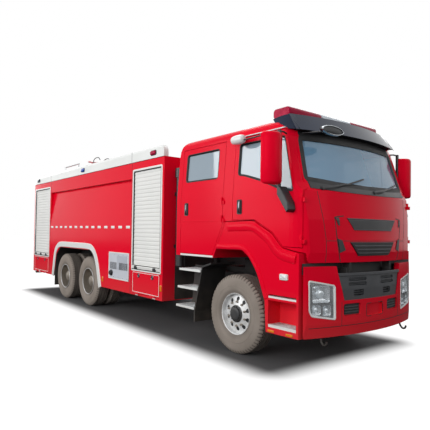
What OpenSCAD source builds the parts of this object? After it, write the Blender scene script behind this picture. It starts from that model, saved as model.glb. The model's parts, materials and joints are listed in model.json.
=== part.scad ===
// Six-wheel crew-cab airport fire truck, millimetres.
// X runs forward, Y to the left, Z up; the ground is z = 0.
// Places along X are measured from the front axle.

/* [Overall] */
// Front axle to the front of the bumper
front_overhang = 1411; // [1380:1:1500]
// Last axle to the rear wall of the body
rear_overhang = 2431; // [2380:1:2680]
// Depth of the ladder and tow gear behind the rear wall
rear_gear = 100; // [80:1:140]
// Width over the body sides
body_w = 2500; // [2490:1:2550]

/* [Wheels] */
// Front axle to the first rear axle
wheelbase = 4850; // [4830:1:4870]
// Distance between the two rear axles
tandem = 1370; // [1340:1:1400]
// Outer radius of a tyre, and height of the axles
tyre_r = 546; // [530:1:555]
// Width of a tyre
tyre_w = 300; // [270:1:305]
// Radius where the tyre sits on its rim
rim_r = 290; // [280:1:300]
// Middle of the truck to the outer face of a front tyre
front_face = 1192; // [1180:1:1200]
// Middle of the truck to the outer face of a twin tyre
twin_face = 1239; // [1225:1:1245]
// Gap between the two tyres of a twin wheel
twin_gap = 40; // [30:1:50]
// Number of hand holes in a rim
hand_holes = 10; // [8:1:12]
// Radius of a hand hole
hand_hole_r = 28; // [20:1:34]
// Radius of the front wheel spindles
spindle_r = 45; // [35:1:55]
// Radius of the rear axle ends
axle_end_r = 60; // [50:1:70]
// Middle of the truck to the steering pivots
kingpin_y = 930; // [915:1:940]
// Radius of the steering pivots
kingpin_r = 25; // [20:1:32]
// Running clearance on the radius of pins and spindles
running_fit = 0.05; // [0.02:0.01:0.1]

/* [Frame] */
// Middle of the truck to the inner face of a frame rail
rail_in = 390; // [380:1:400]
// Thickness of a frame rail
rail_t = 80; // [60:1:90]
// Underside of the rails
rail_z = 740; // [730:1:760]
// Top of the rails, where the body modules sit
deck_z = 1030; // [1020:1:1045]
// Radius of the tow pin bores
tow_r = 20; // [15:1:24]

/* [Cab] */
// Front axle to the rear wall of the cab
cab_rear = 1367; // [1350:1:1390]
// Front axle to the middle of the cab front
cab_front = 1400; // [1385:1:1405]
// Width of the cab below its windows
cab_w = 2480; // [2470:1:2490]
// Lean of each cab side, from the belt to the roof edge
cab_lean = 70; // [60:1:80]
// Underside of the crew floor
cab_sill = 1305; // [1300:1:1325]
// Underside of the front floor between the fenders
cab_floor = 1420; // [1410:1:1440]
// Height where the sides start to lean inwards
belt_z = 2200; // [2195:1:2210]
// Top of the roof
roof_z = 3140; // [3125:1:3150]
// Thickness of the cab walls and doors
cab_wall = 65; // [55:1:70]
// Thickness of the glass
glass_t = 12; // [8:1:16]
// Radius of the bowed cab front seen from above
bow_r = 4236; // [4000:1:4500]
// Front axle to the cab tilt pivot
tilt_x = 1300; // [1290:1:1310]
// Height of the cab tilt pivot
tilt_z = 1230; // [1226:1:1240]
// Radius of the cab tilt pins
tilt_r = 22; // [18:1:28]

/* [Doors] */
// Gap round doors and flaps
door_gap = 7; // [6:1:8]
// Rear and front edge of a front door
front_door = [0, 1190]; // [-300:1:1300]
// Rear and front edge of a crew door
crew_door = [-1250, -220]; // [-1300:1:100]
// Top edge of the doors
door_top = 2985; // [2970:1:2995]
// Lower edge of the crew doors
crew_door_z = 1345; // [1335:1:1360]
// Radius of the door and flap hinge barrels
barrel_r = 13; // [11:1:14]

/* [Body] */
// Front axle to the front wall of the body
body_front = 1752; // [1740:1:1765]
// Front axle to the joint between front locker and tank
seam_front = 2870; // [2860:1:2880]
// Length of the pump room
pump_room_l = 1351; // [1341:1:1361]
// Underside of the side skirts
skirt_z = 496; // [480:1:510]
// Middle of the truck to the inner face of the skirts
skirt_in = 590; // [580:1:600]
// Roof deck of the body
body_top = 2973; // [2960:1:2985]
// Thickness of the locker walls
wall = 60; // [50:1:70]
// Width of the white frame beside a shutter
frame_w = 90; // [85:1:100]
// Lower edge of the shutters below the frame deck
shutter_low = 53; // [45:1:60]
// Upper edge of the shutters below the roof deck
shutter_high = 173; // [160:1:190]
// Slats in a shutter
slats = 24; // [16:1:32]
// Thickness of a shutter
shutter_t = 24; // [20:1:30]
// Height of the flaps
flap_h = 404; // [380:1:410]
// Edge of the skirt below the flaps
flap_foot = 40; // [36:1:50]
// Thickness of a flap
flap_t = 40; // [30:1:45]
// Depth of the set-back tank side at its upper edge
recess_d = 85; // [60:1:95]
// Height of the set-back tank side
recess_h = 868; // [800:1:900]
// Upper edge of the set-back tank side below the roof deck
recess_high = 305; // [280:1:330]
// Top of the wheel arches
arch_z = 1250; // [1240:1:1260]
// Width of the white band round the rear arch
band_w = 130; // [110:1:135]
// Height of the white parapets above the roof deck
parapet_h = 207; // [190:1:220]
// Thickness of a parapet
parapet_t = 92; // [80:1:100]

/* [Roof gear] */
// Joint between tank and pump room to the water cannon
monitor_set = 300; // [200:1:400]
// Roof deck to the water cannon's elevation pivot
monitor_h = 547; // [527:1:567]
// Bore radius of the water cannon
monitor_bore = 38; // [30:1:42]
// Length of the barrel ahead of its pivot
barrel_l = 620; // [560:1:680]
// Front axle to the middle of the light bar
bar_x = 660; // [650:1:670]
// Length of the light bar
bar_l = 2140; // [2100:1:2180]
// Depth of the light bar from front to rear
bar_d = 290; // [270:1:300]
// Height of the light bar
bar_h = 155; // [140:1:170]
// Roof to the underside of the light bar
bar_foot = 25; // [20:1:40]
// Height of the smoked visor
visor_h = 230; // [210:1:250]
// Roof to the lower edge of the smoked visor
visor_drop = 165; // [150:1:180]
// Width of a door mirror housing
mirror_w = 300; // [280:1:320]

/* [Hidden] */
$fn = 48;
side = body_w / 2;
body_rear = wheelbase + tandem + rear_overhang;
seam_rear = body_rear - pump_room_l;
monitor_x = seam_rear - monitor_set;
monitor_z = body_top + monitor_h;
shutter_z = [deck_z - shutter_low, body_top - shutter_high];
flap_z = [skirt_z + flap_foot, skirt_z + flap_foot + flap_h];
recess_z = [body_top - recess_high - recess_h, body_top - recess_high];
// Model origin to the front axle, so that the origin is at mid length
axle_x = (body_rear + rear_gear - front_overhang) / 2;
mid_axle = -wheelbase;
rear_axle = -wheelbase - tandem;
bogie_mid = (mid_axle + rear_axle) / 2;
rail_out = rail_in + rail_t;
// Clearance between seated round faces, and a cut's reach past a face
seat_gap = 0.3;
past = 50;
rim_out = rim_r - seat_gap;
rim_in = rim_out - 14;
twin_w = 2 * tyre_w + twin_gap;
front_in = front_face - tyre_w;
twin_in = twin_face - twin_w;
eye_r = kingpin_r + 30;
eye_h = 60;
red = "#d3122a";
white = "#e9e9e4";
black = "#1b1c1e";
steel = "#b9bcbf";
grey = "#55585c";

module place() { translate([axle_x, 0, 0]) children(); }
module right() { mirror([0, 1, 0]) children(); }
module both() {
  children();
  right() children();
}
// A block given by its lowest and highest corners
module block(a, b) { translate(a) cube(b - a); }
// An outline seen from the side, carried from y0 to y1
module prism_xz(pts, y0, y1) {
  translate([0, y1, 0]) rotate([90, 0, 0]) linear_extrude(y1 - y0) polygon(pts);
}
// An outline seen from the front, carried from x0 to x1
module prism_yz(pts, x0, x1) {
  translate([x0, 0, 0]) rotate([90, 0, 90]) linear_extrude(x1 - x0) polygon(pts);
}
module rod_x(r, x0, x1) { translate([x0, 0, 0]) rotate([0, 90, 0]) cylinder(r = r, h = x1 - x0); }
module rod_y(r, y0, y1) { translate([0, y0, 0]) rotate([-90, 0, 0]) cylinder(r = r, h = y1 - y0); }
// A profile of radius and width, turned about Y
module turned(pts) { rotate([-90, 0, 0]) rotate_extrude($fn = 96) polygon(pts); }
// Corner points of an outline, each replaced by an arc of radius r in n steps
function unit(v) = v / norm(v);
function corner(p, a, b, r, n) =
  let (u = unit(a - p), w = unit(b - p), half = acos(u * w) / 2, m = unit(u + w),
       c = p + m * r / sin(half), s = unit(p + u * r / tan(half) - c), e = unit(p + w * r / tan(half) - c),
       turn = acos(max(-1, min(1, s * e))))
  [for (i = [0:n]) c + r * (s * sin(turn * (1 - i / n)) + e * sin(turn * i / n)) / sin(turn)];
function rounded(pts, r, n = 5) = [for (i = [0:len(pts) - 1]) each
  let (rr = is_list(r) ? r[i] : r, k = len(pts))
  rr == 0 ? [pts[i]] : corner(pts[i], pts[(i + k - 1) % k], pts[(i + 1) % k], rr, n)];
function rect(a, b) = [a, [b[0], a[1]], b, [a[0], b[1]]];

// Frame: two rails, cross tubes, tilt brackets, cab rest, front beam and the dark apron behind the bumper
cross_at = [1100, -1560, -3300, bogie_mid, -7700];
frame_front = 1200;
frame_rear = -body_rear + 90;
bracket_in = 484;
bracket_t = 30;
rest_x = -1300;
rest_gap = 6;
front_beam_z = [640, 760];
apron = [[1190, -730, front_beam_z[1]], [1215, 730, 1275]];
module chassis_frame() {
  color(black) {
    both() block([frame_rear, rail_in, rail_z], [frame_front, rail_out, deck_z]);
    for (x = cross_at) translate([x, 0, rail_z + 110]) rod_y(45, -rail_in - 10, rail_in + 10);
    both() block([rest_x - 40, rail_in, deck_z - 10], [rest_x + 40, rail_out, cab_sill - rest_gap]);
    both() prism_xz([[1080, deck_z - 40], [frame_front, deck_z - 40], [tilt_x + 30, tilt_z - 30],
      [tilt_x + 30, tilt_z + 30], [tilt_x - 45, tilt_z + 30]], bracket_in, bracket_in + bracket_t);
    both() block([1080, rail_out - 10, deck_z - 80], [frame_front, bracket_in + bracket_t, deck_z]);
    block([1130, -rail_in - 10, front_beam_z[0]], [frame_front, rail_in + 10, front_beam_z[1]]);
    both() translate([tilt_x, 0, tilt_z]) rod_y(tilt_r, bracket_in - 60, bracket_in + 5);
    block(apron[0], apron[1]);
  }
}

// Front axle: dropped beam, pivot eyes and leaf springs
spring_y = rail_in + rail_t / 2;
spring_w = 70;
spring_l = 720;
spring_z = tyre_r - 46;
beam_half = 45;
function leaf(x) = spring_z + (rail_z - 60 - spring_z) * pow(x / spring_l, 2);
leaf_x = [for (i = [-6:6]) i * spring_l / 6];
module front_axle() {
  color(black) {
    difference() {
      union() {
        prism_yz([for (s = [-1, 1]) each let (p = [[kingpin_y, -eye_h], [kingpin_y - 90, -eye_h],
          [kingpin_y - 230, -146], [0, -146]]) [for (q = s < 0 ? p : [for (k = [3:-1:0]) p[k]])
          [s * q[0], tyre_r + q[1]]],
          [kingpin_y, tyre_r + eye_h], [kingpin_y - 150, tyre_r + eye_h], [spring_y + 140, spring_z],
          [-spring_y - 140, spring_z], [150 - kingpin_y, tyre_r + eye_h], [-kingpin_y, tyre_r + eye_h]],
          -beam_half, beam_half);
        both() translate([0, kingpin_y, tyre_r - eye_h]) cylinder(r = eye_r, h = 2 * eye_h);
        both() prism_xz(concat([for (x = leaf_x) [x, leaf(x)]],
          [for (i = [len(leaf_x) - 1:-1:0]) [leaf_x[i], leaf(leaf_x[i]) + 60]]),
          spring_y - spring_w / 2, spring_y + spring_w / 2);
        both() block([-90, spring_y - spring_w / 2, spring_z - 20],
          [90, spring_y + spring_w / 2, spring_z + 70]);
        both() for (x = [-spring_l, spring_l])
          block([x - 35, spring_y - spring_w / 2, rail_z - 60], [x + 35, spring_y + spring_w / 2, rail_z]);
      }
      both() translate([0, kingpin_y, 0]) cylinder(r = kingpin_r + running_fit, h = 2 * tyre_r);
    }
  }
}

// Steering knuckle: pivot pin, two ears, backing plate and spindle
plate_y = kingpin_y + eye_r + 10;
module knuckle() {
  color(grey) translate([0, 0, tyre_r]) {
    translate([0, kingpin_y, -eye_h - 50]) cylinder(r = kingpin_r, h = 2 * (eye_h + 50));
    for (z = [-eye_h - 50, eye_h + 0.5]) translate([0, 0, z]) {
      translate([0, kingpin_y, 0]) cylinder(r = eye_r - 5, h = 49.5);
      block([5 - eye_r, kingpin_y, 0], [eye_r - 5, plate_y + 5, 49.5]);
    }
    rod_y(170, plate_y, plate_y + 20);
    rod_y(spindle_r, plate_y + 10, front_in + 248);
  }
}
module knuckle_left() { knuckle(); }
module knuckle_right() { right() knuckle(); }

// Wheels, with their inner face at y = 0
module hole_ring(r, y0, y1) {
  for (i = [0:hand_holes - 1]) rotate([0, i * 360 / hand_holes, 0])
    translate([0, 0, r]) rod_y(hand_hole_r, y0, y1);
}
module front_rim() {
  bore = spindle_r + running_fit;
  lip = tyre_w - 30;
  color(steel) translate([0, front_in, tyre_r]) difference() {
    turned([[0, 250], [0, 286], [62, 286], [78, 258], [125, 252], [rim_in - 70, 222], [rim_in, 205],
      [rim_in, lip], [rim_out, lip], [rim_out, 30], [rim_in, 30], [rim_in, 178], [rim_in - 70, 196],
      [125, 226], [105, 130], [bore, 130], [bore, 250]]);
    hole_ring(rim_in - 68, 120, 280);
  }
}
module twin_rims() {
  bore = axle_end_r + running_fit;
  mid = twin_w / 2;
  color(steel) translate([0, twin_in, tyre_r]) difference() {
    turned([[0, 520], [0, 556], [95, 556], [112, 500], [112, mid + 12], [rim_in - 40, mid + 12],
      [rim_in, mid + 65], [rim_in, twin_w - 15], [rim_out, twin_w - 15], [rim_out, mid + 35],
      [rim_in - 14, mid], [rim_out, mid - 35], [rim_out, 15], [rim_in, 15], [rim_in, mid - 65],
      [rim_in - 40, mid - 12], [112, mid - 12], [112, 200], [bore, 200], [bore, 520]]);
    hole_ring(rim_in - 75, mid - 60, mid + 60);
  }
}
function tyre_outline(y) = [[rim_r, y + 35], [rim_r + 70, y + 4], [tyre_r - 110, y], [tyre_r - 36, y + 12],
  [tyre_r, y + 44], [tyre_r, y + tyre_w - 44], [tyre_r - 36, y + tyre_w - 12], [tyre_r - 110, y + tyre_w],
  [rim_r + 70, y + tyre_w - 4], [rim_r, y + tyre_w - 35]];
module front_tyre() { color(black) translate([0, front_in, tyre_r]) turned(tyre_outline(0)); }
module twin_tyres() {
  color(black) translate([0, twin_in, tyre_r]) for (y = [0, tyre_w + twin_gap]) turned(tyre_outline(y));
}
module front_rim_left() { front_rim(); }
module front_rim_right() { right() front_rim(); }
module front_tyre_left() { front_tyre(); }
module front_tyre_right() { right() front_tyre(); }
module mid_rims_left() { translate([mid_axle, 0, 0]) twin_rims(); }
module mid_rims_right() { right() mid_rims_left(); }
module rear_rims_left() { translate([rear_axle, 0, 0]) twin_rims(); }
module rear_rims_right() { right() rear_rims_left(); }
module mid_tyres_left() { translate([mid_axle, 0, 0]) twin_tyres(); }
module mid_tyres_right() { right() mid_tyres_left(); }
module rear_tyres_left() { translate([rear_axle, 0, 0]) twin_tyres(); }
module rear_tyres_right() { right() rear_tyres_left(); }

// Rear bogie: two drive axles with drums, springs, prop shaft
housing_r = 95;
module rear_bogie() {
  color(black) {
    for (x = [mid_axle, rear_axle]) translate([x, 0, tyre_r]) {
      rod_y(housing_r, -twin_in - 10, twin_in + 10);
      rod_y(axle_end_r, -twin_in - 510, twin_in + 510);
      both() rod_y(205, twin_in - 10, twin_in + 185);
      sphere(r = 215);
    }
    translate([0, 0, tyre_r + 60]) rod_x(45, rear_axle + 100, -1400);
    both() prism_xz([[mid_axle + 160, tyre_r + housing_r - 20], [rear_axle - 160, tyre_r + housing_r - 20],
      [rear_axle - 160, tyre_r + housing_r + 40], [bogie_mid - 170, rail_z], [bogie_mid + 170, rail_z],
      [mid_axle + 160, tyre_r + housing_r + 40]], spring_y - spring_w / 2, spring_y + spring_w / 2);
  }
}

// Engine and gearbox as one mass between the rails, on four feet
module engine() {
  color(grey) {
    block([-700, -330, 660], [380, 330, 1270]);
    block([-1390, -230, 640], [-690, 230, 1100]);
    for (x = [-500, 200]) both() block([x, 300, 800], [x + 90, rail_in, 880]);
  }
}

// Cab form: a front contour turned about a far upright axis, so that it bows, with rounded corners
bow_x = cab_front - bow_r;
cab_side = cab_w / 2;
corner_r = 260;
corner_x = 1228;
nose_turn = 74;
corner_mid = corner_x - corner_r * tan(nose_turn / 2);
function skin(x) = cab_side - corner_r + sqrt(pow(corner_r, 2) - pow(max(0, x - corner_mid), 2));
module bowed(front, o, r = corner_r) {
  low = 350;
  high = 3400;
  tip = cab_side / 3;
  lead = (cab_side - tip) / tan(nose_turn) - o / sin(nose_turn);
  edge = corner_x + (cos(nose_turn) - 1) / sin(nose_turn) * o;
  pts = [for (p = front) [p[0] - o - bow_x, p[1]]];
  intersection() {
    translate([bow_x, 0, 0]) rotate([0, 0, 180]) rotate_extrude($fn = 360)
      polygon(concat([[0, low], [pts[0][0], low]], pts, [[pts[len(pts) - 1][0], high], [0, high]]));
    translate([0, 0, low]) linear_extrude(high - low) polygon(rounded([[-1500, o - cab_side],
      [edge, o - cab_side], [corner_x + lead, -tip], [corner_x + lead, tip], [edge, cab_side - o],
      [-1500, cab_side - o]], [0, r - o, 0, 0, r - o, 0], 6));
  }
}
// Height and place of the cab front on the centre line, from the lower edge to the roof
cab_contour = [[cab_front - 14, 1330], [cab_front, 1450], [cab_front - 5, 1850], [cab_front - 42, 2200],
  [cab_front - 100, 2300], [cab_front - 285, 2905], [cab_front - 340, 3010], [cab_front - 470, 3095],
  [cab_front - 700, roof_z]];
module envelope(o) {
  half_roof = cab_side - cab_lean;
  intersection() {
    bowed(cab_contour, o);
    prism_xz(rounded([[o - cab_rear, 900], [1600, 900], [1600, roof_z - o], [o - cab_rear, roof_z - o]],
      [0, 0, 0, 230 - o]), -cab_w, cab_w);
    prism_yz(rounded([[o - cab_side, 900], [cab_side - o, 900], [cab_side - o, belt_z],
      [half_roof - o, roof_z - o], [o - half_roof, roof_z - o], [o - cab_side, belt_z]],
      [0, 0, 300, 120 - o / 2, 120 - o / 2, 300]), -1500, 1600);
  }
}
// Upper edge of the fenders, which the lower edge of the cab follows with a gap
fender_top = [[-139, 1828], [417, 1837], [748, 1672], [921, 1499], [1195, 1443]];
cab_gap = 12;
module cab_mass(o) {
  under = concat([[-1600, 800], [-1600, cab_sill + o], [-420 - o / 2, cab_sill + o]],
    [for (p = fender_top) [p[0] - (p[0] < 0 ? 16 : 0), p[1] + cab_gap + o]],
    [[1222, 1443 + o], [1235, 1330 + o], [1700, 1330 + o], [1700, 800]]);
  difference() {
    envelope(o);
    prism_xz(under, -cab_w, cab_w);
  }
  intersection() {
    envelope(o);
    block([-480 - o, o - 700, cab_floor + o], [1500, 700 - o, 1980]);
  }
}
// A layer of the cab wall between two depths
module layer(o0, o1) {
  difference() {
    envelope(o0);
    envelope(o1);
  }
}

// Door outlines, seen from the side
front_door_line = [[front_door[0], 1858], [425, 1858], [758, 1694], [933, 1520], [front_door[1], 1512],
  [front_door[1], 2230], [1130, 2330], [935, door_top], [front_door[0], door_top]];
crew_door_line = [[crew_door[0], crew_door_z], [-450, crew_door_z], [crew_door[1] - 20, 1750],
  [crew_door[1], 1800], [crew_door[1], door_top], [crew_door[0], door_top]];
// Window outlines, seen from the side
front_window = rounded([[front_door[0] + 80, 2470], [200, 2455], [560, 2350], [900, 2215], [1090, 2190],
  [898, 2905], [front_door[0] + 80, 2905]], 40, 3);
crew_window = rounded([[crew_door[0] + 95, 2465], [crew_door[1] - 140, 2465], [crew_door[1] - 140, 2905],
  [crew_door[0] + 95, 2905]], 60, 4);
// Outline moved outwards by d, with sharp corners: each corner follows the outward ways of its sides
function total(v, i = 0) = i < len(v) ? v[i] + total(v, i + 1) : 0;
function way(pts) = sign(total([for (i = [0:len(pts) - 1]) cross(pts[i], pts[(i + 1) % len(pts)])]));
function outward(a, b, s) = s * [b[1] - a[1], a[0] - b[0]] / norm(b - a);
function grown(pts, d) = let (k = len(pts), s = way(pts)) [for (i = [0:k - 1])
  let (n0 = outward(pts[(i + k - 1) % k], pts[i], s), n1 = outward(pts[i], pts[(i + 1) % k], s))
  pts[i] + d * (n0 + n1) / (1 + n0 * n1)];
wall_in = cab_side - 135;
wall_out = cab_side + 160;

// Hinges: barrels on upright axes just outside the skin, alternating between cab and door
leaf_h = 48;
leaf_l = 42;
front_hinge = [front_door[1] + door_gap / 2, skin(front_door[1]) + barrel_r + 7];
crew_hinge = [crew_door[1] + door_gap / 2, cab_side + barrel_r + 7];
front_hinge_z = [1560, 2060];
crew_hinge_z = [1830, 2080];
module leaf_plate(at, zs, way) {
  for (z = zs) translate([at[0], at[1], z]) {
    cylinder(r = barrel_r, h = leaf_h);
    block([way < 0 ? -leaf_l : 0, -barrel_r - 30, 0], [way < 0 ? 0 : leaf_l, -2, leaf_h]);
  }
}
module cab_leaf(at, zs) { leaf_plate(at, zs, 1); }
module door_leaf(at, zs) { translate([0, 0, leaf_h + seat_gap]) leaf_plate(at, zs, -1); }

// Windscreen outline, seen from the front
screen_low = cab_side - 160;
screen_high = cab_side - 222;
screen_line = rounded([[-screen_low, 2338], [-560, 2292], [0, 2276], [560, 2292], [screen_low, 2338],
  [screen_high, 2895], [-screen_high, 2895]], [50, 0, 0, 0, 50, 70, 70], 4);
arm_in = 434;
arm_t = 40;
module cab_shell() {
  color(red) {
    difference() {
      union() {
        difference() {
          cab_mass(0);
          cab_mass(cab_wall);
          prism_yz(screen_line, 600, 1700);
          both() {
            prism_xz(grown(front_door_line, door_gap), wall_in, wall_out);
            prism_xz(grown(crew_door_line, door_gap), wall_in, wall_out);
          }
        }
        both() {
          cab_leaf(front_hinge, front_hinge_z);
          cab_leaf(crew_hinge, crew_hinge_z);
          prism_xz([[tilt_x - 50, cab_floor + 20], [tilt_x - 50, tilt_z], [tilt_x - 30, tilt_z - 42],
            [tilt_x + 30, tilt_z - 42], [tilt_x + 50, tilt_z], [tilt_x + 50, cab_floor + 20]],
            arm_in, arm_in + arm_t);
        }
      }
      both() translate([tilt_x, 0, tilt_z]) rod_y(tilt_r + running_fit, arm_in - past, arm_in + arm_t + past);
    }
  }
}
module windscreen() {
  color("#2a3238") intersection() {
    layer(16, 16 + glass_t);
    prism_yz(grown(screen_line, -seat_gap), 600, 1700);
  }
}
module cab_door(line, window, at, zs) {
  color(red) {
    difference() {
      intersection() {
        layer(0, cab_wall);
        prism_xz(line, wall_in, wall_out);
      }
      prism_xz(window, wall_in - past, wall_out + past);
    }
    door_leaf(at, zs);
  }
}
module cab_glass(window) {
  color("#8fa0a8") intersection() {
    layer(22, 22 + glass_t);
    prism_xz(grown(window, -seat_gap), wall_in, wall_out);
  }
}
module front_door_left() { cab_door(front_door_line, front_window, front_hinge, front_hinge_z); }
module front_door_right() { right() front_door_left(); }
module crew_door_left() { cab_door(crew_door_line, crew_window, crew_hinge, crew_hinge_z); }
module crew_door_right() { right() crew_door_left(); }
module front_glass_left() { cab_glass(front_window); }
module front_glass_right() { right() front_glass_left(); }
module crew_glass_left() { cab_glass(crew_window); }
module crew_glass_right() { right() crew_glass_left(); }

// Door mirror: half-round housing on a spine with an upper and a lower bar
mirror_set = 100;
mirror_r = mirror_w / 2;
mirror_reach = cab_side + mirror_set + mirror_w;
mirror_bevel = 40;
mirror_x = 930;
mirror_z = [2262, 2885];
arm_foot = [1100, 1970];
// Kerb mirror on a bar behind the right door mirror
kerb = [160, 1300, 2945];
kerb_r = 60;
kerb_half = 110;
module door_mirror_left() {
  y = mirror_reach - mirror_r;
  spine = [y - mirror_r - 20, y - mirror_r + 24];
  color(red) {
    intersection() {
      translate([mirror_x, y, 0]) rotate_extrude() polygon([[0, mirror_z[0]],
        [mirror_r - mirror_bevel, mirror_z[0]], [mirror_r, mirror_z[0] + mirror_bevel],
        [mirror_r, mirror_z[1] - mirror_bevel], [mirror_r - mirror_bevel, mirror_z[1]], [0, mirror_z[1]]]);
      block([mirror_x, 0, 0], [mirror_x + mirror_r, 2 * mirror_reach, 4000]);
    }
    block([mirror_x + 5, spine[0], mirror_z[0] - 90], [mirror_x + 40, spine[1], 2935]);
    difference() {
      prism_xz([[mirror_x + 5, mirror_z[0] - 90], [arm_foot[0] - 20, arm_foot[1] - 40],
        [arm_foot[0] + 20, arm_foot[1]], [mirror_x + 40, mirror_z[0] - 30]], cab_side - 60, spine[1]);
      envelope(-seat_gap);
    }
    block([mirror_x - 24, cab_side - 52.2, 2905], [mirror_x + 10, spine[1], 2935]);
  }
}
module door_mirror_right() {
  right() {
    door_mirror_left();
    color(red) {
      translate([kerb[0], kerb[1], kerb[2]]) rod_x(kerb_r, -kerb_half, kerb_half);
      block([kerb[0] + kerb_half - 10, kerb[1] - 10, 2910], [mirror_x, kerb[1] + 10, 2930]);
    }
  }
}

// Oval front mirror on a stem from the cab header
oval_out = cab_side - 230;
oval = [[-oval_out, 2885], [420 - oval_out, 3005]];
oval_x = [1280, 1330];
stem_z = [2945, 2965];
stem_line = [[oval_x[0] + 10, 200 - oval_out], [oval_x[0] + 10, 225 - oval_out], [900, 62 - oval_out],
  [900, 37 - oval_out]];
module front_mirrors() {
  color(white) {
    prism_yz(rounded(rect(oval[0], oval[1]), 58, 5), oval_x[0], oval_x[1]);
    difference() {
      translate([0, 0, stem_z[0]]) linear_extrude(stem_z[1] - stem_z[0]) polygon(stem_line);
      envelope(-seat_gap);
    }
  }
}

// Seats: two in front on pedestals and a crew bench, with backs
seat_floor = cab_floor + cab_wall;
crew_floor = cab_sill + cab_wall;
front_seat = [10, 510];
cushion_z = [1918, 2100];
back_t = 118;
module cab_seats() {
  color(grey) {
    both() {
      block([front_seat[0] + 60, 400, seat_floor], [front_seat[1] - 60, 620, cushion_z[0] + 5]);
      block([front_seat[0], 380, cushion_z[0]], [front_seat[1], 880, cushion_z[1]]);
      block([front_seat[0] - back_t, 380, cushion_z[0] + 30], [front_seat[0] - 2, 880, 2700]);
      block([front_seat[0] - 20, 480, cushion_z[0] + 10], [front_seat[0] + 20, 780, cushion_z[0] + 90]);
    }
    block([-1120, -1000, crew_floor], [-620, 1000, crew_floor + 440]);
    block([-1240, -1000, crew_floor + 200], [-1110, 1000, crew_floor + 1150]);
  }
}
// Dashboard on a console, with column and steering wheel in front of the left seat
wheel_at = [705, 630, 2189];
wheel_tilt = [0, -55, 0];
module dashboard() {
  color(black) {
    prism_xz([[840, 2000], [1110, 2000], [1110, 2200], [1040, 2255], [840, 2180]], -1000, 1000);
    block([900, -200, seat_floor], [1080, 200, 2010]);
    translate(wheel_at) rotate(wheel_tilt) {
      translate([0, 0, -200]) cylinder(r = 24, h = 200);
      rotate_extrude() translate([215, 0]) circle(r = 15);
      for (a = [0, 120, 240]) rotate([0, 0, a]) block([0, -14, -8], [215, 14, 8]);
    }
  }
}

// Black trim on the cab front, and wipers
module on_front(line, depth) {
  intersection() {
    layer(-depth, -seat_gap);
    prism_yz(line, 700, 1700);
  }
}
trim_t = 8;
trim_lines = [[[-425, 1740], [425, 1740], [545, 1875], [-545, 1875]],
  [[-345, 1408], [345, 1408], [500, 1584], [-500, 1584]]];
slit_lines = [[[579, 1484], [673, 1451], [709, 1625], [638, 1606]],
  [[676, 1788], [698, 1788], [744, 1882], [690, 1886]]];
wiper_t = 14;
wiper_pitch = 966;
wiper_line = [[60, 2236], [90, 2262], [560, 2330], [900, 2420], [906, 2402], [566, 2312]];
module front_trim() {
  color(black) {
    for (line = trim_lines) on_front(line, trim_t);
    both() for (line = slit_lines) on_front(line, trim_t);
    for (y = [0, wiper_pitch]) on_front([for (p = wiper_line) [p[0] - y, p[1]]], wiper_t);
  }
}

// Smoked visor with end returns, on struts above the windscreen
visor_z = [roof_z - visor_drop, roof_z - visor_drop + visor_h];
visor_x = [cab_front - 225, cab_front - 390];
visor_t = 9;
visor_half = asin((cab_side - 121) / (visor_x[0] - bow_x));
visor_end = cab_side - 190;
strut_y = [-760, 0, 760];
strut_z = [visor_z[0] + 55, visor_z[0] + 85];
// Places on an arc about the bow axis: x on the centre line, moved to y
function bow_at(x, y) = bow_x + sqrt(pow(x - bow_x, 2) - pow(y, 2));
function visor_in(z) = visor_x[0] + (visor_x[1] - visor_x[0]) * (z - visor_z[0]) / (visor_z[1] - visor_z[0]);
module visor() {
  color("#20252b") {
    translate([bow_x, 0, 0]) rotate([0, 0, -visor_half]) rotate_extrude(angle = 2 * visor_half, $fn = 360)
      polygon([[visor_x[0] - bow_x, visor_z[0]], [visor_x[0] - bow_x + visor_t, visor_z[0]],
        [visor_x[1] - bow_x + visor_t, visor_z[1]], [visor_x[1] - bow_x, visor_z[1]]]);
    both() let (low = bow_at(visor_x[0], visor_end), high = bow_at(visor_x[1], visor_end))
      prism_xz([[low - 55, visor_z[0] + 4], [low + 4, visor_z[0]], [high + 4, visor_z[1]],
        [high - 32, visor_z[1]]], visor_end, visor_end + 12);
    for (y = strut_y) difference() {
      block([850, y - 15, strut_z[0]], [bow_at(visor_in(strut_z[1]) + 4, y), y + 15, strut_z[1]]);
      envelope(-seat_gap);
    }
  }
}

// Light bar on four feet
bar_z = [roof_z + bar_foot, roof_z + bar_foot + bar_h];
module light_bar() {
  color("#c8ccd0") {
    prism_xz(rounded(rect([bar_x - bar_d / 2, bar_z[0]], [bar_x + bar_d / 2, bar_z[1]]), 60),
      -bar_l / 2, bar_l / 2);
    for (y = [-700, 620]) block([bar_x - 150, y, roof_z], [bar_x - 40, y + 80, bar_z[0] + 30]);
  }
}

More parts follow.
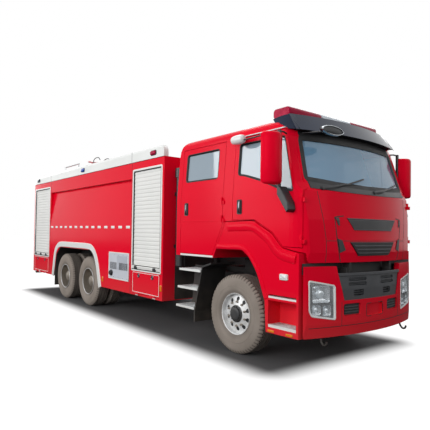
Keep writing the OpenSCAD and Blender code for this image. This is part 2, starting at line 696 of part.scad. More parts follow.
// Bumper: bowed shell with lamp and insert openings, three shallow recesses, brackets to the frame
bumper_contour = [[front_overhang - 81, 412], [front_overhang - 19, 432], [front_overhang, 592],
  [front_overhang, 1000], [front_overhang - 13, 1287]];
bumper_t = 70;
bumper_corner = 130;
bumper_rear = 1222;
insert_line = [[-600, 862], [600, 862], [690, 1165], [-690, 1165]];
ledge_line = [[-690, 1164], [690, 1164], [745, 1400], [-745, 1400]];
lamp_out = cab_side - 95;
lamp_line = rounded([[lamp_out - 408, 630], [lamp_out - 40, 690], [lamp_out - 5, 760], [lamp_out, 1130],
  [lamp_out - 400, 1060]], 35, 3);
fog_line = rounded(rect([300, 675], [610, 822]), 30, 3);
plate_line = rounded(rect([-185, 640], [185, 800]), 30, 3);
recess_in = 30;
module bumper_form(o) { bowed(bumper_contour, o, bumper_corner); }
module bumper() {
  color(red) {
    difference() {
      intersection() {
        bumper_form(0);
        block([bumper_rear, -1300, 412], [1600, 1300, 1287]);
      }
      bumper_form(bumper_t);
      prism_yz(insert_line, 1100, 1600);
      prism_yz(ledge_line, 1100, 1600);
      both() prism_yz(lamp_line, 1100, 1600);
      intersection() {
        difference() {
          bumper_form(-past);
          bumper_form(recess_in);
        }
        union() {
          both() prism_yz(fog_line, 1100, 1600);
          prism_yz(plate_line, 1100, 1600);
        }
      }
    }
    both() block([frame_front, 280, 610], [front_overhang - bumper_t + 10, 440, 690]);
  }
}
slots = [[[159, 1040], [507, 1080]], [[159, 1098], [507, 1138]], [[219, 910], [415, 984]]];
module bumper_insert() {
  color(grey) difference() {
    intersection() {
      bumper_form(14);
      prism_yz(grown(insert_line, -seat_gap), 1100, 1600);
    }
    bumper_form(bumper_t - 8);
    both() for (s = slots) prism_yz(rounded(rect(s[0], s[1]), 18, 3), 1100, 1600);
  }
}
module headlamps() {
  color("#dfe3e6") both() intersection() {
    difference() {
      bumper_form(6);
      bumper_form(bumper_t - 6);
    }
    prism_yz(grown(lamp_line, -seat_gap), bumper_rear, 1600);
  }
}

// Fenders: the band between cab edge and wheel arch, each on an arm from the frame
fender_in = 740;
step_z = [430, 848];
step_x = [668, 1195];
fender_line = rounded(concat(fender_top, [[step_x[1], step_z[0]], [step_x[0], step_z[0]], [640, 849],
  [504, 1152], [348, 1357], [207, 1445], [-335, 1444]]),
  [30, 120, 120, 100, 0, 0, 0, 0, 200, 150, 120, 0], 4);
// Step niche: open to the side, with its floor under the lower tread and a slot over the upper tread
niche_in = 1030;
niche_x = [705, 1160];
niche_z = [500, 840];
slot_over = [866, 912];
slot_in = 80;
module front_fenders() {
  color(red) both() {
    difference() {
      prism_xz(fender_line, fender_in, side);
      block([niche_x[0], niche_in, niche_z[0]], [niche_x[1], side + past, niche_z[1]]);
      block([niche_x[0], niche_in + slot_in, slot_over[0]], [niche_x[1], side + past, slot_over[1]]);
    }
    block([720, rail_out, 950], [780, fender_in + 20, 1010]);
  }
}

// Steps: treads in the niche of each fender, and three treads under the crew door
crew_treads = [[-1290, -740, 1066], [-1330, -810, 780], [-1370, -890, 478]];
tread_t = 34;
tread_set = 4;
tread_out = side - 24;
step_wall = [880, 905];
module cab_steps() {
  color(white) both() {
    block([niche_x[0] + seat_gap, niche_in + seat_gap, niche_z[0] + seat_gap],
      [niche_x[1] - seat_gap, side - tread_set, niche_z[0] + tread_t]);
    block([niche_x[0] + seat_gap, niche_in + slot_in + seat_gap, slot_over[0] + seat_gap],
      [niche_x[1] - seat_gap, side - tread_set, slot_over[0] + 24]);
    for (t = crew_treads) block([t[0], step_wall[1] + seat_gap, t[2]], [t[1], tread_out, t[2] + tread_t]);
  }
}

// Body modules on the frame deck, with skirts outside the rails
locker_x = [frame_w - 20 - seam_front, -body_front - frame_w];
room_x = [frame_w + 10 - body_rear, -seam_rear - frame_w];
module body_block(x0, x1) {
  block([x0, -side, deck_z], [x1, side, body_top]);
  both() block([x0, skirt_in, skirt_z], [x1, side, deck_z + 1]);
}
module flap_space(xs) {
  both() block([xs[0], skirt_in + wall, flap_z[0] - door_gap], [xs[1], side + past, flap_z[1] + door_gap]);
}
// Flap hinges along X, below and outside the flap's lower edge
flap_axis = [side + barrel_r + 7, flap_z[0] - door_gap / 2];
flap_leaf_l = 80;
module flap_leaves(xs, on_flap) {
  for (x = [xs[0] + 120, xs[1] - 120 - 2 * flap_leaf_l])
    translate([x + (on_flap ? flap_leaf_l + seat_gap : 0), flap_axis[0], flap_axis[1]]) {
      rod_x(barrel_r, 0, flap_leaf_l);
      block([0, -barrel_r - 17, on_flap ? 4 : -14], [flap_leaf_l, 0, on_flap ? 14 : -4]);
    }
}
module front_locker() {
  color(red) {
    difference() {
      body_block(-seam_front, -body_front);
      both() block([locker_x[0], wall / 2, shutter_z[0]], [locker_x[1], side + past, shutter_z[1]]);
      flap_space(locker_x);
    }
    both() flap_leaves(locker_x, false);
  }
}
well_behind = 735;
well_ahead = 605;
well_line = rounded([[rear_axle - well_behind, 300], [rear_axle - well_behind, 520], [rear_axle - 600, 1060],
  [rear_axle - 340, arch_z], [mid_axle + 230, arch_z], [mid_axle + 460, 1040], [mid_axle + well_ahead, 520],
  [mid_axle + well_ahead, 300]], [0, 0, 160, 120, 120, 160, 0, 0], 4);
// Tank side: set back ever deeper towards the roof
recess_end = 10;
recess_bend = 1.1;
recess_steps = 6;
recess_line = concat([[side + past, recess_z[0]]], [for (i = [0:recess_steps]) let (k = i / recess_steps)
  [side - recess_d * pow(k, recess_bend), recess_z[0] + k * (recess_z[1] - recess_z[0])]],
  [[side + past, recess_z[1]]]);
module tank_body() {
  color(red) difference() {
    body_block(-seam_rear, -seam_front);
    both() {
      prism_xz(well_line, twin_in - 45, side + past);
      prism_yz(recess_line, recess_end - seam_rear, -recess_end - seam_front);
    }
  }
}
rear_open = [[-620, 1080], [620, 2720]];
module pump_room() {
  color(red) {
    difference() {
      body_block(-body_rear, -seam_rear);
      block([room_x[0], -side - past, shutter_z[0] + 80], [room_x[1], side + past, shutter_z[1]]);
      both() block([room_x[0], skirt_in + wall, shutter_z[0]], [room_x[1], side + past, shutter_z[1]]);
      prism_yz(rect(rear_open[0], rear_open[1]), -body_rear - past, room_x[0] + past);
      flap_space(room_x);
    }
    both() flap_leaves(room_x, false);
  }
}
module flap(xs) {
  color(red) {
    block([xs[0] + door_gap, side - flap_t, flap_z[0]], [xs[1] - door_gap, side, flap_z[1]]);
    flap_leaves(xs, true);
  }
}
module front_flap_left() { flap(locker_x); }
module front_flap_right() { right() flap(locker_x); }
module rear_flap_left() { flap(room_x); }
module rear_flap_right() { right() flap(room_x); }

// Roller shutters: rounded slats above a thicker bottom bar
bottom_bar = 80;
function slat_line(y, z0, z1) = let (pitch = (z1 - z0 - bottom_bar) / slats) concat(
  [[y - shutter_t, z0], [y + 8, z0], [y + 8, z0 + bottom_bar]],
  [for (i = [0:slats - 1]) let (z = z0 + bottom_bar + i * pitch) each
    [[y - 7, z + 1], [y, z + 0.3 * pitch], [y - 1, z + 0.75 * pitch]]],
  [[y - 7, z1], [y - shutter_t, z1]]);
module side_shutter(xs) {
  prism_yz(slat_line(side - 14, shutter_z[0], shutter_z[1] - seat_gap), xs[0] + seat_gap, xs[1] - seat_gap);
}
module shutters() {
  color(white) {
    both() {
      side_shutter(locker_x);
      side_shutter(room_x);
    }
    translate([-body_rear + 14, 0, 0]) rotate([0, 0, 90])
      prism_yz(slat_line(0, rear_open[0][1], rear_open[1][1] - seat_gap), rear_open[0][0] + seat_gap,
        rear_open[1][0] - seat_gap);
  }
}

// White band round the rear wheel arches, and the grey panel ahead of it
band_front = mid_axle + well_ahead + band_w;
band_line = rounded([[rear_axle - well_behind - band_w, skirt_z], [rear_axle - 600 - band_w, 1110],
  [rear_axle - 350 - band_w / 2, arch_z + band_w], [mid_axle + 240 + band_w / 2, arch_z + band_w],
  [mid_axle + 460 + band_w, 1090], [band_front, skirt_z]], [0, 160, 140, 140, 160, 0], 4);
band_t = 12;
module arch_bands() {
  color(white) both() difference() {
    prism_xz(band_line, side, side + band_t);
    prism_xz(well_line, side - past, side + past);
  }
}
panel_back = 355;
panel_in = 50;
panel = [[band_front + panel_back, 715], [-seam_front - panel_in, 1252]];
panel_t = 14;
module pump_panels() {
  color("#c9cbc9") both() difference() {
    prism_xz(rect(panel[0], panel[1]), side, side + panel_t);
    for (i = [0:11]) translate([panel[1][0] - 90 - i * 34, 0, 0])
      block([0, side + panel_t - 6, panel[0][1] + 190], [16, side + panel_t + past, panel[1][1] - 70]);
  }
}

// Parapets along both roof edges, rounded at the front
parapet_out = 12;
module roof_parapets() {
  out = side + parapet_out;
  top = body_top + parapet_h;
  color(white) both() intersection() {
    prism_yz(rounded([[out - parapet_t, body_top], [out, body_top], [out, top], [out - parapet_t, top]],
      [0, 0, 60, 12]), -body_rear, -body_front);
    prism_xz(rounded([[-body_rear, body_top], [-body_front, body_top], [-body_front, top], [-body_rear, top]],
      [0, 0, 130, 40]), 0, 2 * side);
  }
}

// Water cannon: pedestal with a spigot, swivel with a fork, barrel with its nozzle
spigot_r = 70;
swivel_h = 98;
fork_drop = 92;
swivel_top = monitor_z - fork_drop;
swivel_z = swivel_top - swivel_h;
trunnion_r = 30;
cheek = [66, 92];
module monitor_base() {
  color(red) translate([-monitor_x, 0, 0]) {
    translate([0, 0, body_top]) cylinder(r = 190, h = 26);
    translate([0, 0, body_top]) cylinder(r = 92, h = swivel_z - body_top);
    translate([0, 0, swivel_z - 34]) cylinder(r = 122, h = 34);
    translate([0, 0, swivel_z - 10]) cylinder(r = spigot_r, h = 70);
  }
}
module monitor_swivel() {
  color(red) translate([-monitor_x, 0, 0]) difference() {
    union() {
      translate([0, 0, swivel_z + seat_gap]) cylinder(r = 112, h = swivel_top - swivel_z - seat_gap);
      both() prism_xz(rounded([[-62, swivel_top - 20], [62, swivel_top - 20], [62, monitor_z + 50],
        [-62, monitor_z + 50]], [0, 0, 45, 45], 5), cheek[0], cheek[1]);
    }
    translate([0, 0, swivel_z - past]) cylinder(r = spigot_r + running_fit, h = past + 66);
    translate([0, 0, monitor_z]) rod_y(trunnion_r + running_fit, -past - cheek[1], cheek[1] + past);
  }
}
module monitor_barrel() {
  color(red) translate([-monitor_x, 0, monitor_z]) {
    difference() {
      union() {
        rotate([0, 90, 0]) rotate_extrude() polygon([[0, -45], [50, -45], [58, -20], [58, 60], [50, 130],
          [46, barrel_l - 150], [60, barrel_l - 140], [78, barrel_l - 90], [78, barrel_l], [0, barrel_l]]);
        rod_y(trunnion_r, -cheek[1] - 6, cheek[1] + 6);
      }
      rod_x(monitor_bore, 130, barrel_l + past);
    }
  }
}

// Rear ladder on stand-offs, and a handrail each side of the water cannon
stile_r = 20;
rung_r = 14;
rung_pitch = 300;
hand_r = 16;
hand_y = 820;
hand_h = 440;
ladder_y = [620, 1020];
ladder_z = [640, 3330];
module ladder_rails() {
  color(steel) {
    translate([-body_rear - rear_gear + stile_r, 0, 0]) {
      for (y = ladder_y) translate([0, y, ladder_z[0]]) cylinder(r = stile_r, h = ladder_z[1] - ladder_z[0]);
      for (z = [ladder_z[0] + rung_pitch / 2:rung_pitch:ladder_z[1] - 100]) translate([0, 0, z])
        rod_y(rung_r, ladder_y[0], ladder_y[1]);
      for (y = ladder_y, z = [850, 2850]) translate([0, y, z]) rod_x(12, 0, rear_gear - stile_r);
    }
    both() for (x = [-monitor_x - 420, -monitor_x + 480]) translate([x, hand_y, body_top])
      cylinder(r = hand_r, h = hand_h);
    both() translate([0, hand_y, body_top + hand_h - 10]) rod_x(hand_r, -monitor_x - 460, -monitor_x + 520);
  }
}

// Lamps: amber side markers, parapet lamps, tail lamps
marker_half = [34, 20];
tail_lamp = [[1060, 640], [1200, 900]];
marker_at = [[-body_front - 45, 708], [band_front + 63, 664]];
parapet_lamp_x = [-body_front - 340, mid_axle - 328, 363 - body_rear];
module marker_lamps() {
  color("#d8601a") {
    both() {
      for (p = marker_at) prism_xz(rounded(rect(p - marker_half, p + marker_half), 14, 3), side, side + 16);
      for (x = parapet_lamp_x)
        prism_xz(rounded(rect([x - 85, body_top + 55], [x + 85, body_top + 125]), 30, 3), side + parapet_out,
          side + parapet_out + 32);
      prism_yz(rounded(rect(tail_lamp[0], tail_lamp[1]), 24, 3), -body_rear - 30, -body_rear);
    }
  }
}
guard_line = [[-480, 1205], [-487, 1228], [-702, 1164], [-884, 470], [-884, 300], [-858, 300], [-858, 470],
  [-685, 1142]];
module mudflaps() {
  color(black) both() {
    block([rear_axle - well_behind, twin_in + 20, 250], [rear_axle - well_behind + 12, twin_face - 10, 519]);
    prism_xz(guard_line, 750, tread_out);
    prism_xz([[-1370, 470], [-870, 470], [-690, 1140], [-1290, 1140]], step_wall[0], step_wall[1]);
    block([-1130, rail_out, 880], [-1080, step_wall[0] + 10, 940]);
  }
}

// Rear step under the body, with the tow jaw
jaw_r = 52;
jaw_z = [600, 680];
jaw_x = -body_rear - 45;
step_half = 1190;
module rear_step() {
  color(black) {
    difference() {
      union() {
        block([-body_rear + 5, -step_half, step_z[0]], [-body_rear + 105, step_half, skirt_z]);
        block([-body_rear + 5, -380, skirt_z - 5], [-body_rear + 85, 380, rail_z - 5]);
        block([jaw_x, -jaw_r, jaw_z[0]], [-body_rear + 10, jaw_r, jaw_z[1]]);
        translate([jaw_x, 0, jaw_z[0]]) cylinder(r = jaw_r, h = jaw_z[1] - jaw_z[0]);
      }
      translate([jaw_x, 0, jaw_z[0] - past]) cylinder(r = tow_r, h = jaw_z[1] - jaw_z[0] + 2 * past);
    }
  }
}

// Air intake pipe between cab and body
intake_x = -1600;
intake_y = -1000;
intake_r = 85;
intake_z = [1100, 2700];
intake_cap = [105, 160];
module air_intake() {
  color(black) {
    translate([intake_x, intake_y, intake_z[0]]) cylinder(r = intake_r, h = intake_z[1] - intake_z[0]);
    translate([intake_x, intake_y, intake_z[1] - 100]) cylinder(r = intake_cap[0], h = intake_cap[1]);
    for (z = [1400, 2300]) block([-body_front, intake_y - 30, z], [intake_x, intake_y + 30, z + 60]);
  }
}

place() chassis_frame();
place() front_axle();
place() rear_bogie();
place() engine();
place() bumper();
place() bumper_insert();
place() headlamps();
place() front_fenders();
place() cab_steps();
place() front_locker();
place() tank_body();
place() pump_room();
place() roof_parapets();
place() shutters();
place() arch_bands();
place() pump_panels();
place() monitor_base();
place() ladder_rails();
place() marker_lamps();
place() mudflaps();
place() rear_step();
place() air_intake();
place() cab_shell();
place() windscreen();
place() cab_seats();
place() dashboard();
place() front_trim();
place() visor();
place() light_bar();
place() front_mirrors();
place() front_door_left();
place() front_door_right();
place() crew_door_left();
place() crew_door_right();
place() front_glass_left();
place() front_glass_right();
place() crew_glass_left();
place() crew_glass_right();
place() door_mirror_left();
place() door_mirror_right();
place() knuckle_left();
place() knuckle_right();
place() front_rim_left();
place() front_rim_right();
place() front_tyre_left();
place() front_tyre_right();
place() mid_rims_left();
place() mid_rims_right();
place() rear_rims_left();
place() rear_rims_right();
place() mid_tyres_left();
place() mid_tyres_right();
place() rear_tyres_left();
place() rear_tyres_right();
place() front_flap_left();
place() front_flap_right();
place() rear_flap_left();
place() rear_flap_right();
place() monitor_swivel();
place() monitor_barrel();
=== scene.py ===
import json
import bmesh
import bpy
import numpy as np
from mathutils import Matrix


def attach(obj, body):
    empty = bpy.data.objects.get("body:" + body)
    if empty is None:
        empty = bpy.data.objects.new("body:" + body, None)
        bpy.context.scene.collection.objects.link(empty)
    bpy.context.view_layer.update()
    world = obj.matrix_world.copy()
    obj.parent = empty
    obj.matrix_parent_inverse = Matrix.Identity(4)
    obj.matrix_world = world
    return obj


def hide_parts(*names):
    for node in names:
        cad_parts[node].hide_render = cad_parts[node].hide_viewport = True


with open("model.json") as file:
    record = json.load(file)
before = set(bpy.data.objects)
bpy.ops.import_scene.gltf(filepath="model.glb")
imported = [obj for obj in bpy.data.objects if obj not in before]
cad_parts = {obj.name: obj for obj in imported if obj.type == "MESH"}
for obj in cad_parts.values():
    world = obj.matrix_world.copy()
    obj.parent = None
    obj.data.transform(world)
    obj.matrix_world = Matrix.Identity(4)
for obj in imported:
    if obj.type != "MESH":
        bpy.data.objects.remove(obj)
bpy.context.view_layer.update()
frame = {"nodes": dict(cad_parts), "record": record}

nodes = frame["nodes"]
axleX = 3.670  # front axle in the row frame; the lengths below count from that axle, in metres
ahead, rearward, toLeft, toRight, upward = (1, 0, 0), (-1, 0, 0), (0, 1, 0), (0, -1, 0), (0, 0, 1)
# a view is (sideways, up) as someone sees it who looks at a face, so that the face points towards them
fromRight, fromAbove, fromBehind, fromFront = (ahead, upward), (ahead, toLeft), (toRight, upward), (toLeft, upward)


# shapes as arrays: a shape is (points, faces)

def gridFaces(rows, cols, wrapRows=False, wrapCols=False):
    # one quad between each point of a rows x cols grid and its next neighbours
    r = np.arange(rows if wrapRows else rows - 1)[:, None]
    c = np.arange(cols if wrapCols else cols - 1)[None, :]
    r1, c1 = (r + 1) % rows, (c + 1) % cols
    quads = np.stack(np.broadcast_arrays(r * cols + c, r * cols + c1, r1 * cols + c1, r1 * cols + c), -1)
    return quads.reshape(-1, 4).tolist()


def joined(*shapes):
    # several shapes as one, each with its face numbers moved past the points before it
    points, faces, start = [], [], 0
    for p, f in shapes:
        points.append(p)
        faces += [[i + start for i in q] for q in f]
        start += len(p)
    return np.concatenate(points), faces


def mirrored(shape):
    # the same shape across the truck's middle, with its faces turned to point outwards again
    return shape[0] * [1, -1, 1], [q[::-1] for q in shape[1]]


def both(*shapes):
    # shapes of the right side with their mirror images
    one = joined(*shapes)
    return joined(one, mirrored(one))


def ring(radius, count=10):
    # points at even turns on a circle
    a = np.arange(count) * 2 * np.pi / count
    return np.stack([radius * np.cos(a), radius * np.sin(a)], -1)


def roundRect(width, height, radius, steps=5):
    # counter-clockwise outline: a quarter circle of the radius at each corner of the rectangle
    a = np.linspace(0, np.pi / 2, steps)[None, :] + np.arange(4)[:, None] * np.pi / 2
    sx, sy = np.array([1, -1, -1, 1])[:, None], np.array([1, 1, -1, -1])[:, None]
    x = sx * (width / 2 - radius) + radius * np.cos(a)
    y = sy * (height / 2 - radius) + radius * np.sin(a)
    return np.stack([x.ravel(), y.ravel()], -1)


def inset(outline, by):
    # each corner moves along the bisector of its two sides, so that both sides move in by the distance
    d0 = outline - np.roll(outline, 1, 0)
    d1 = np.roll(outline, -1, 0) - outline
    n0 = np.stack([-d0[:, 1], d0[:, 0]], -1) / np.linalg.norm(d0, axis=1)[:, None]
    n1 = np.stack([-d1[:, 1], d1[:, 0]], -1) / np.linalg.norm(d1, axis=1)[:, None]
    m = n0 + n1
    return outline + by * 2 * m / np.maximum((m * m).sum(1), 0.5)[:, None]


def stacked(rings):
    # rings of points one after another, with sides between neighbours and a face over each end
    m, n = len(rings), len(rings[0])
    ends = [list(range(n))[::-1], list(range((m - 1) * n, m * n))]
    return np.concatenate(rings), gridFaces(m, n, wrapCols=True) + ends


def slab(outline, levels, origin, view):
    # an outline carried along its own normal: each level is (how far the outline shrinks, how far out it stands)
    axes = np.array(view, float)
    out = np.cross(*axes)
    return stacked([np.asarray(origin) + inset(outline, shrink) @ axes + height * out for shrink, height in levels])


def plate(width, height, radius, levels, at, view, steps=3):
    # a rounded rectangle stood off the place that is its middle
    return slab(roundRect(width, height, radius, steps), levels, at, view)


def carried(profile, path, upHint=upward, closedPath=False):
    # a flat profile carried along a path, its first axis sideways and its second upwards of the run
    path, profile = np.asarray(path, float), np.asarray(profile, float)
    a, b = path - np.roll(path, 1, 0), np.roll(path, -1, 0) - path
    t = a + b
    if not closedPath:
        t[0], t[-1] = b[0], a[-1]
    t /= np.linalg.norm(t, axis=1)[:, None]
    side = np.cross(t, np.broadcast_to(np.asarray(upHint, float), t.shape))
    side /= np.linalg.norm(side, axis=1)[:, None]
    up = np.cross(side, t)
    # at a corner the profile stretches, so that its runs keep their width
    cosine = (a * b).sum(1) / np.maximum(np.linalg.norm(a, axis=1) * np.linalg.norm(b, axis=1), 1e-9)
    bend = 1 / np.sqrt(np.clip((1 + cosine) / 2, 0.3, 1))
    if not closedPath:
        bend[0] = bend[-1] = 1
    points = (path[:, None, :] + profile[None, :, :1] * side[:, None, :] * bend[:, None, None]
              + profile[None, :, 1:] * up[:, None, :])
    m, n = len(path), len(profile)
    faces = [q[::-1] for q in gridFaces(m, n, wrapRows=closedPath, wrapCols=True)]
    if not closedPath:
        faces += [list(range(n)), list(range((m - 1) * n, m * n))[::-1]]
    return points.reshape(-1, 3), faces


def smoothPath(points, steps=6):
    # a curve through the points: each stretch is a cubic whose ends lean along the line between its neighbours
    p = np.asarray(points, float)
    p = np.concatenate([[2 * p[0] - p[1]], p, [2 * p[-1] - p[-2]]])
    t = (np.arange(steps) / steps)[None, :, None]
    a, b, c, d = (p[i:len(p) - 3 + i, None, :] for i in range(4))
    curve = 0.5 * (2 * b + (c - a) * t + (2 * a - 5 * b + 4 * c - d) * t ** 2 + (3 * b - a - 3 * c + d) * t ** 3)
    return np.concatenate([curve.reshape(-1, p.shape[1]), p[-2:-1]])


def tube(radius, path, upHint=upward, count=10, closedPath=False):
    # a round section carried along a path
    return carried(ring(radius, count), path, upHint, closedPath)


def turnedAbout(profile, origin, axis, count=32, bump=0.0):
    # a profile of (distance along the axis, radius) turned full circle; bump adds to the radius by (turn, row)
    axis, profile = np.asarray(axis, float), np.asarray(profile, float)
    s = np.cross(axis, upward) if abs(axis[2]) < 0.9 else np.array([1.0, 0, 0])
    s /= np.linalg.norm(s)
    q = np.cross(axis, s)
    a = (np.arange(count) * 2 * np.pi / count)[:, None]
    r = np.broadcast_to(profile[None, :, 1], (count, len(profile))) + bump
    around = np.cos(a)[..., None] * s + np.sin(a)[..., None] * q
    points = np.asarray(origin) + profile[None, :, :1] * axis + r[..., None] * around
    return points.reshape(-1, 3), gridFaces(count, len(profile), wrapRows=True)


meshSet = {"weld": 1e-6, "sharp": 38, "bevelSteps": 2, "bevelAngle": 0.6}


def piece(name, shape, look, body, slotName, stands=(), sharp=meshSet["sharp"], bevel=0):
    # one mesh object at the origin with its finish, riding on a body; it may stand for CAD nodes; slotName is not
    # used
    mesh = bpy.data.meshes.new(name)
    mesh.from_pydata(np.asarray(shape[0], float).tolist(), [], shape[1])
    form = bmesh.new()
    form.from_mesh(mesh)
    bmesh.ops.remove_doubles(form, verts=form.verts, dist=meshSet["weld"])
    bmesh.ops.recalc_face_normals(form, faces=form.faces)
    form.to_mesh(mesh)
    form.free()
    mesh.polygons.foreach_set("use_smooth", np.ones(len(mesh.polygons), bool))
    mesh.update()
    mesh.set_sharp_from_angle(angle=np.radians(sharp))
    mesh.materials.append(look)
    obj = bpy.data.objects.new(name, mesh)
    bpy.context.scene.collection.objects.link(obj)
    if bevel:
        mod = obj.modifiers.new("softEdges", "BEVEL")
        mod.width, mod.segments = bevel, meshSet["bevelSteps"]
        mod.limit_method, mod.angle_limit = "ANGLE", meshSet["bevelAngle"]
    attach(obj, body)
    if stands:
        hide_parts(*stands)
    return obj


print("frame loaded:", len(nodes), "nodes")


# finishes

def linear(code):
    # sRGB hex to the linear values that a shader takes
    v = np.array([int(code[i:i + 2], 16) for i in (1, 3, 5)]) / 255
    v = np.where(v <= 0.04045, v / 12.92, ((v + 0.055) / 1.055) ** 2.4)
    return (*[float(x) for x in v], 1.0)


def addNode(mat, kind, feeds=None, **settings):
    # one node with its settings, constants and links
    node = mat.node_tree.nodes.new(kind)
    for key, value in settings.items():
        setattr(node, key, value)
    for key, value in (feeds or {}).items():
        if isinstance(value, bpy.types.NodeSocket):
            mat.node_tree.links.new(value, node.inputs[key])
        else:
            node.inputs[key].default_value = value
    return node


def freshMaterial(name, shader):
    # a new material, its shader with the constants set, and where its patterns read their place
    mat = bpy.data.materials.new(name)
    mat.use_nodes = True
    body = mat.node_tree.nodes["Principled BSDF"]
    for key, value in shader.items():
        body.inputs[key.replace("_", " ")].default_value = value
    return mat, body, addNode(mat, "ShaderNodeTexCoord").outputs["Object"]


mmPerMetre = 1000
grainHeight = 0.002
road = {"colour": "#8d7f6f", "height": 0.25, "fade": 0.75, "most": 0.3}  # pale road dust, thickest at the sills


def finish(name, clean, worn, blotch, grain, depth, rough, dust=None, share=0.5, **shader):
    # clean and worn colours mixed by blotches of a size in mm, a grain in mm as bump, roughness swaying
    # between two values, and, where there is dust, a film of it that thins out above a height
    mat, body, place = freshMaterial(name, shader)
    link = mat.node_tree.links.new
    cloud = addNode(mat, "ShaderNodeTexNoise",
                    {"Vector": place, "Scale": mmPerMetre / blotch, "Detail": 4.0}).outputs["Fac"]
    band = addNode(mat, "ShaderNodeMapRange",
                   {"Value": cloud, "From Min": 0.35, "From Max": 0.7, "To Min": 0.0, "To Max": share})
    # a Mix node's colours go in at 6 and 7 and come out at 2
    colour = addNode(mat, "ShaderNodeMix", {0: band.outputs[0], 6: linear(clean), 7: linear(worn)},
                     data_type="RGBA").outputs[2]
    if dust:
        z = addNode(mat, "ShaderNodeSeparateXYZ", {"Vector": place}).outputs["Z"]
        low = addNode(mat, "ShaderNodeMapRange", {"Value": z, "From Min": dust["height"], "To Min": dust["most"],
                                                  "From Max": dust["height"] + dust["fade"], "To Max": 0.0})
        some = addNode(mat, "ShaderNodeMath", {0: low.outputs[0], 1: cloud}, operation="MULTIPLY")
        colour = addNode(mat, "ShaderNodeMix", {0: some.outputs[0], 6: colour, 7: linear(dust["colour"])},
                         data_type="RGBA").outputs[2]
    link(colour, body.inputs["Base Color"])
    sway = addNode(mat, "ShaderNodeMapRange",
                   {"Value": cloud, "From Min": 0.3, "From Max": 0.75, "To Min": rough[0], "To Max": rough[1]})
    link(sway.outputs[0], body.inputs["Roughness"])
    fine = addNode(mat, "ShaderNodeTexNoise", {"Vector": place, "Scale": mmPerMetre / grain, "Detail": 3.0})
    bump = addNode(mat, "ShaderNodeBump",
                   {"Height": fine.outputs["Fac"], "Strength": depth, "Distance": grainHeight})
    link(bump.outputs["Normal"], body.inputs["Normal"])
    return mat


def glass(name, tint, clear, rough):
    # float glass: a tint that lets part of the light straight through under a mirror-smooth face, whose
    # film of dirt sways the roughness over 300 mm
    mat, body, place = freshMaterial(name, {"Base_Color": linear(tint), "Alpha": clear, "IOR": 1.52,
                                            "Specular_IOR_Level": 0.8, "Coat_Weight": 0.5})
    film = addNode(mat, "ShaderNodeTexNoise", {"Vector": place, "Scale": mmPerMetre / 300, "Detail": 2.0})
    sway = addNode(mat, "ShaderNodeMapRange",
                   {"Value": film.outputs["Fac"], "To Min": rough * 0.6, "To Max": rough * 1.6})
    mat.node_tree.links.new(sway.outputs[0], body.inputs["Roughness"])
    return mat


# sprayed two-pack enamel: clear deep red under a gloss coat, with a faint orange-peel ripple (drawn coarse)
redEnamel = finish("redEnamel", "#ee0a2c", "#e40828", blotch=1800, grain=60, depth=0.015, rough=(0.11, 0.17),
                   dust=road, Specular_IOR_Level=0.1, Specular_Tint=linear("#ff3050"))
# the same enamel in white: softer gloss, faintly uneven
whiteEnamel = finish("whiteEnamel", "#eceeec", "#dfe1de", blotch=900, grain=60, depth=0.04, rough=(0.28, 0.42),
                     dust=road, share=0.6, Coat_Weight=0.35)
# brushed-on chassis paint: matt black, dusty in its low places
chassisPaint = finish("chassisPaint", "#1b1b1d", "#2d2b29", blotch=260, grain=12, depth=0.25, rough=(0.55, 0.75),
                      dust=road, share=0.9)
# anodised roll-formed aluminium: pale satin grey
shutterAlloy = finish("anodisedShutter", "#e9e9e6", "#dfe0dd", blotch=700, grain=8, depth=0.03, rough=(0.5, 0.62),
                      share=0.6)
# powder-coated panel: pale blue-grey, fine grit
panelCoat = finish("powderCoatPanel", "#c9cdd6", "#b9bec8", blotch=300, grain=5, depth=0.15, rough=(0.4, 0.55),
                   dust=road, share=0.6)
# injection-moulded plastic: dark grey with a fine spark-eroded grain (drawn coarse)
insertPlastic = finish("mouldedGreyPlastic", "#3b3d41", "#303236", blotch=240, grain=7, depth=0.2,
                       rough=(0.42, 0.56), dust=road, share=0.6)
# the same plastic in black, a little smoother
blackPlastic = finish("mouldedBlackPlastic", "#16171a", "#222326", blotch=200, grain=7, depth=0.18,
                      rough=(0.35, 0.5), share=0.6)
# soft extruded sealing rubber: matt and almost black
sealRubber = finish("sealRubber", "#0e0e10", "#1a1a1b", blotch=120, grain=6, depth=0.15, rough=(0.6, 0.75), share=0.6)
# clear polycarbonate lens over a bright reflector: pale, very glossy
lampLens = finish("clearLens", "#e3ebf0", "#cfdbe4", blotch=60, grain=14, depth=0.08, rough=(0.04, 0.1), share=0.6,
                  Coat_Weight=0.8, Metallic=0.35)
# moulded white lamp surround: clean, smooth
lampWhite = finish("mouldedWhitePlastic", "#eef0ef", "#e2e5e4", blotch=120, grain=8, depth=0.04, rough=(0.3, 0.42))
# vacuum-metallised reflector: bright, slightly hazy
brightReflector = finish("metallisedReflector", "#d3d8dc", "#b4babf", blotch=80, grain=20, depth=0.03,
                         rough=(0.2, 0.3), Metallic=0.8)
# polished chrome plate: a clear mirror
chromePlate = finish("chromePlate", "#c9ced2", "#aab1b6", blotch=120, grain=20, depth=0.03, rough=(0.1, 0.2),
                     Metallic=1.0)
# the same plate darkened as painted shade, for the dark cups and surroundings that handles and pulls mirror
shadedChrome = finish("shadedChromePlate", "#6a6f75", "#4b5056", blotch=120, grain=20, depth=0.03, rough=(0.14, 0.24),
                    Metallic=1.0)
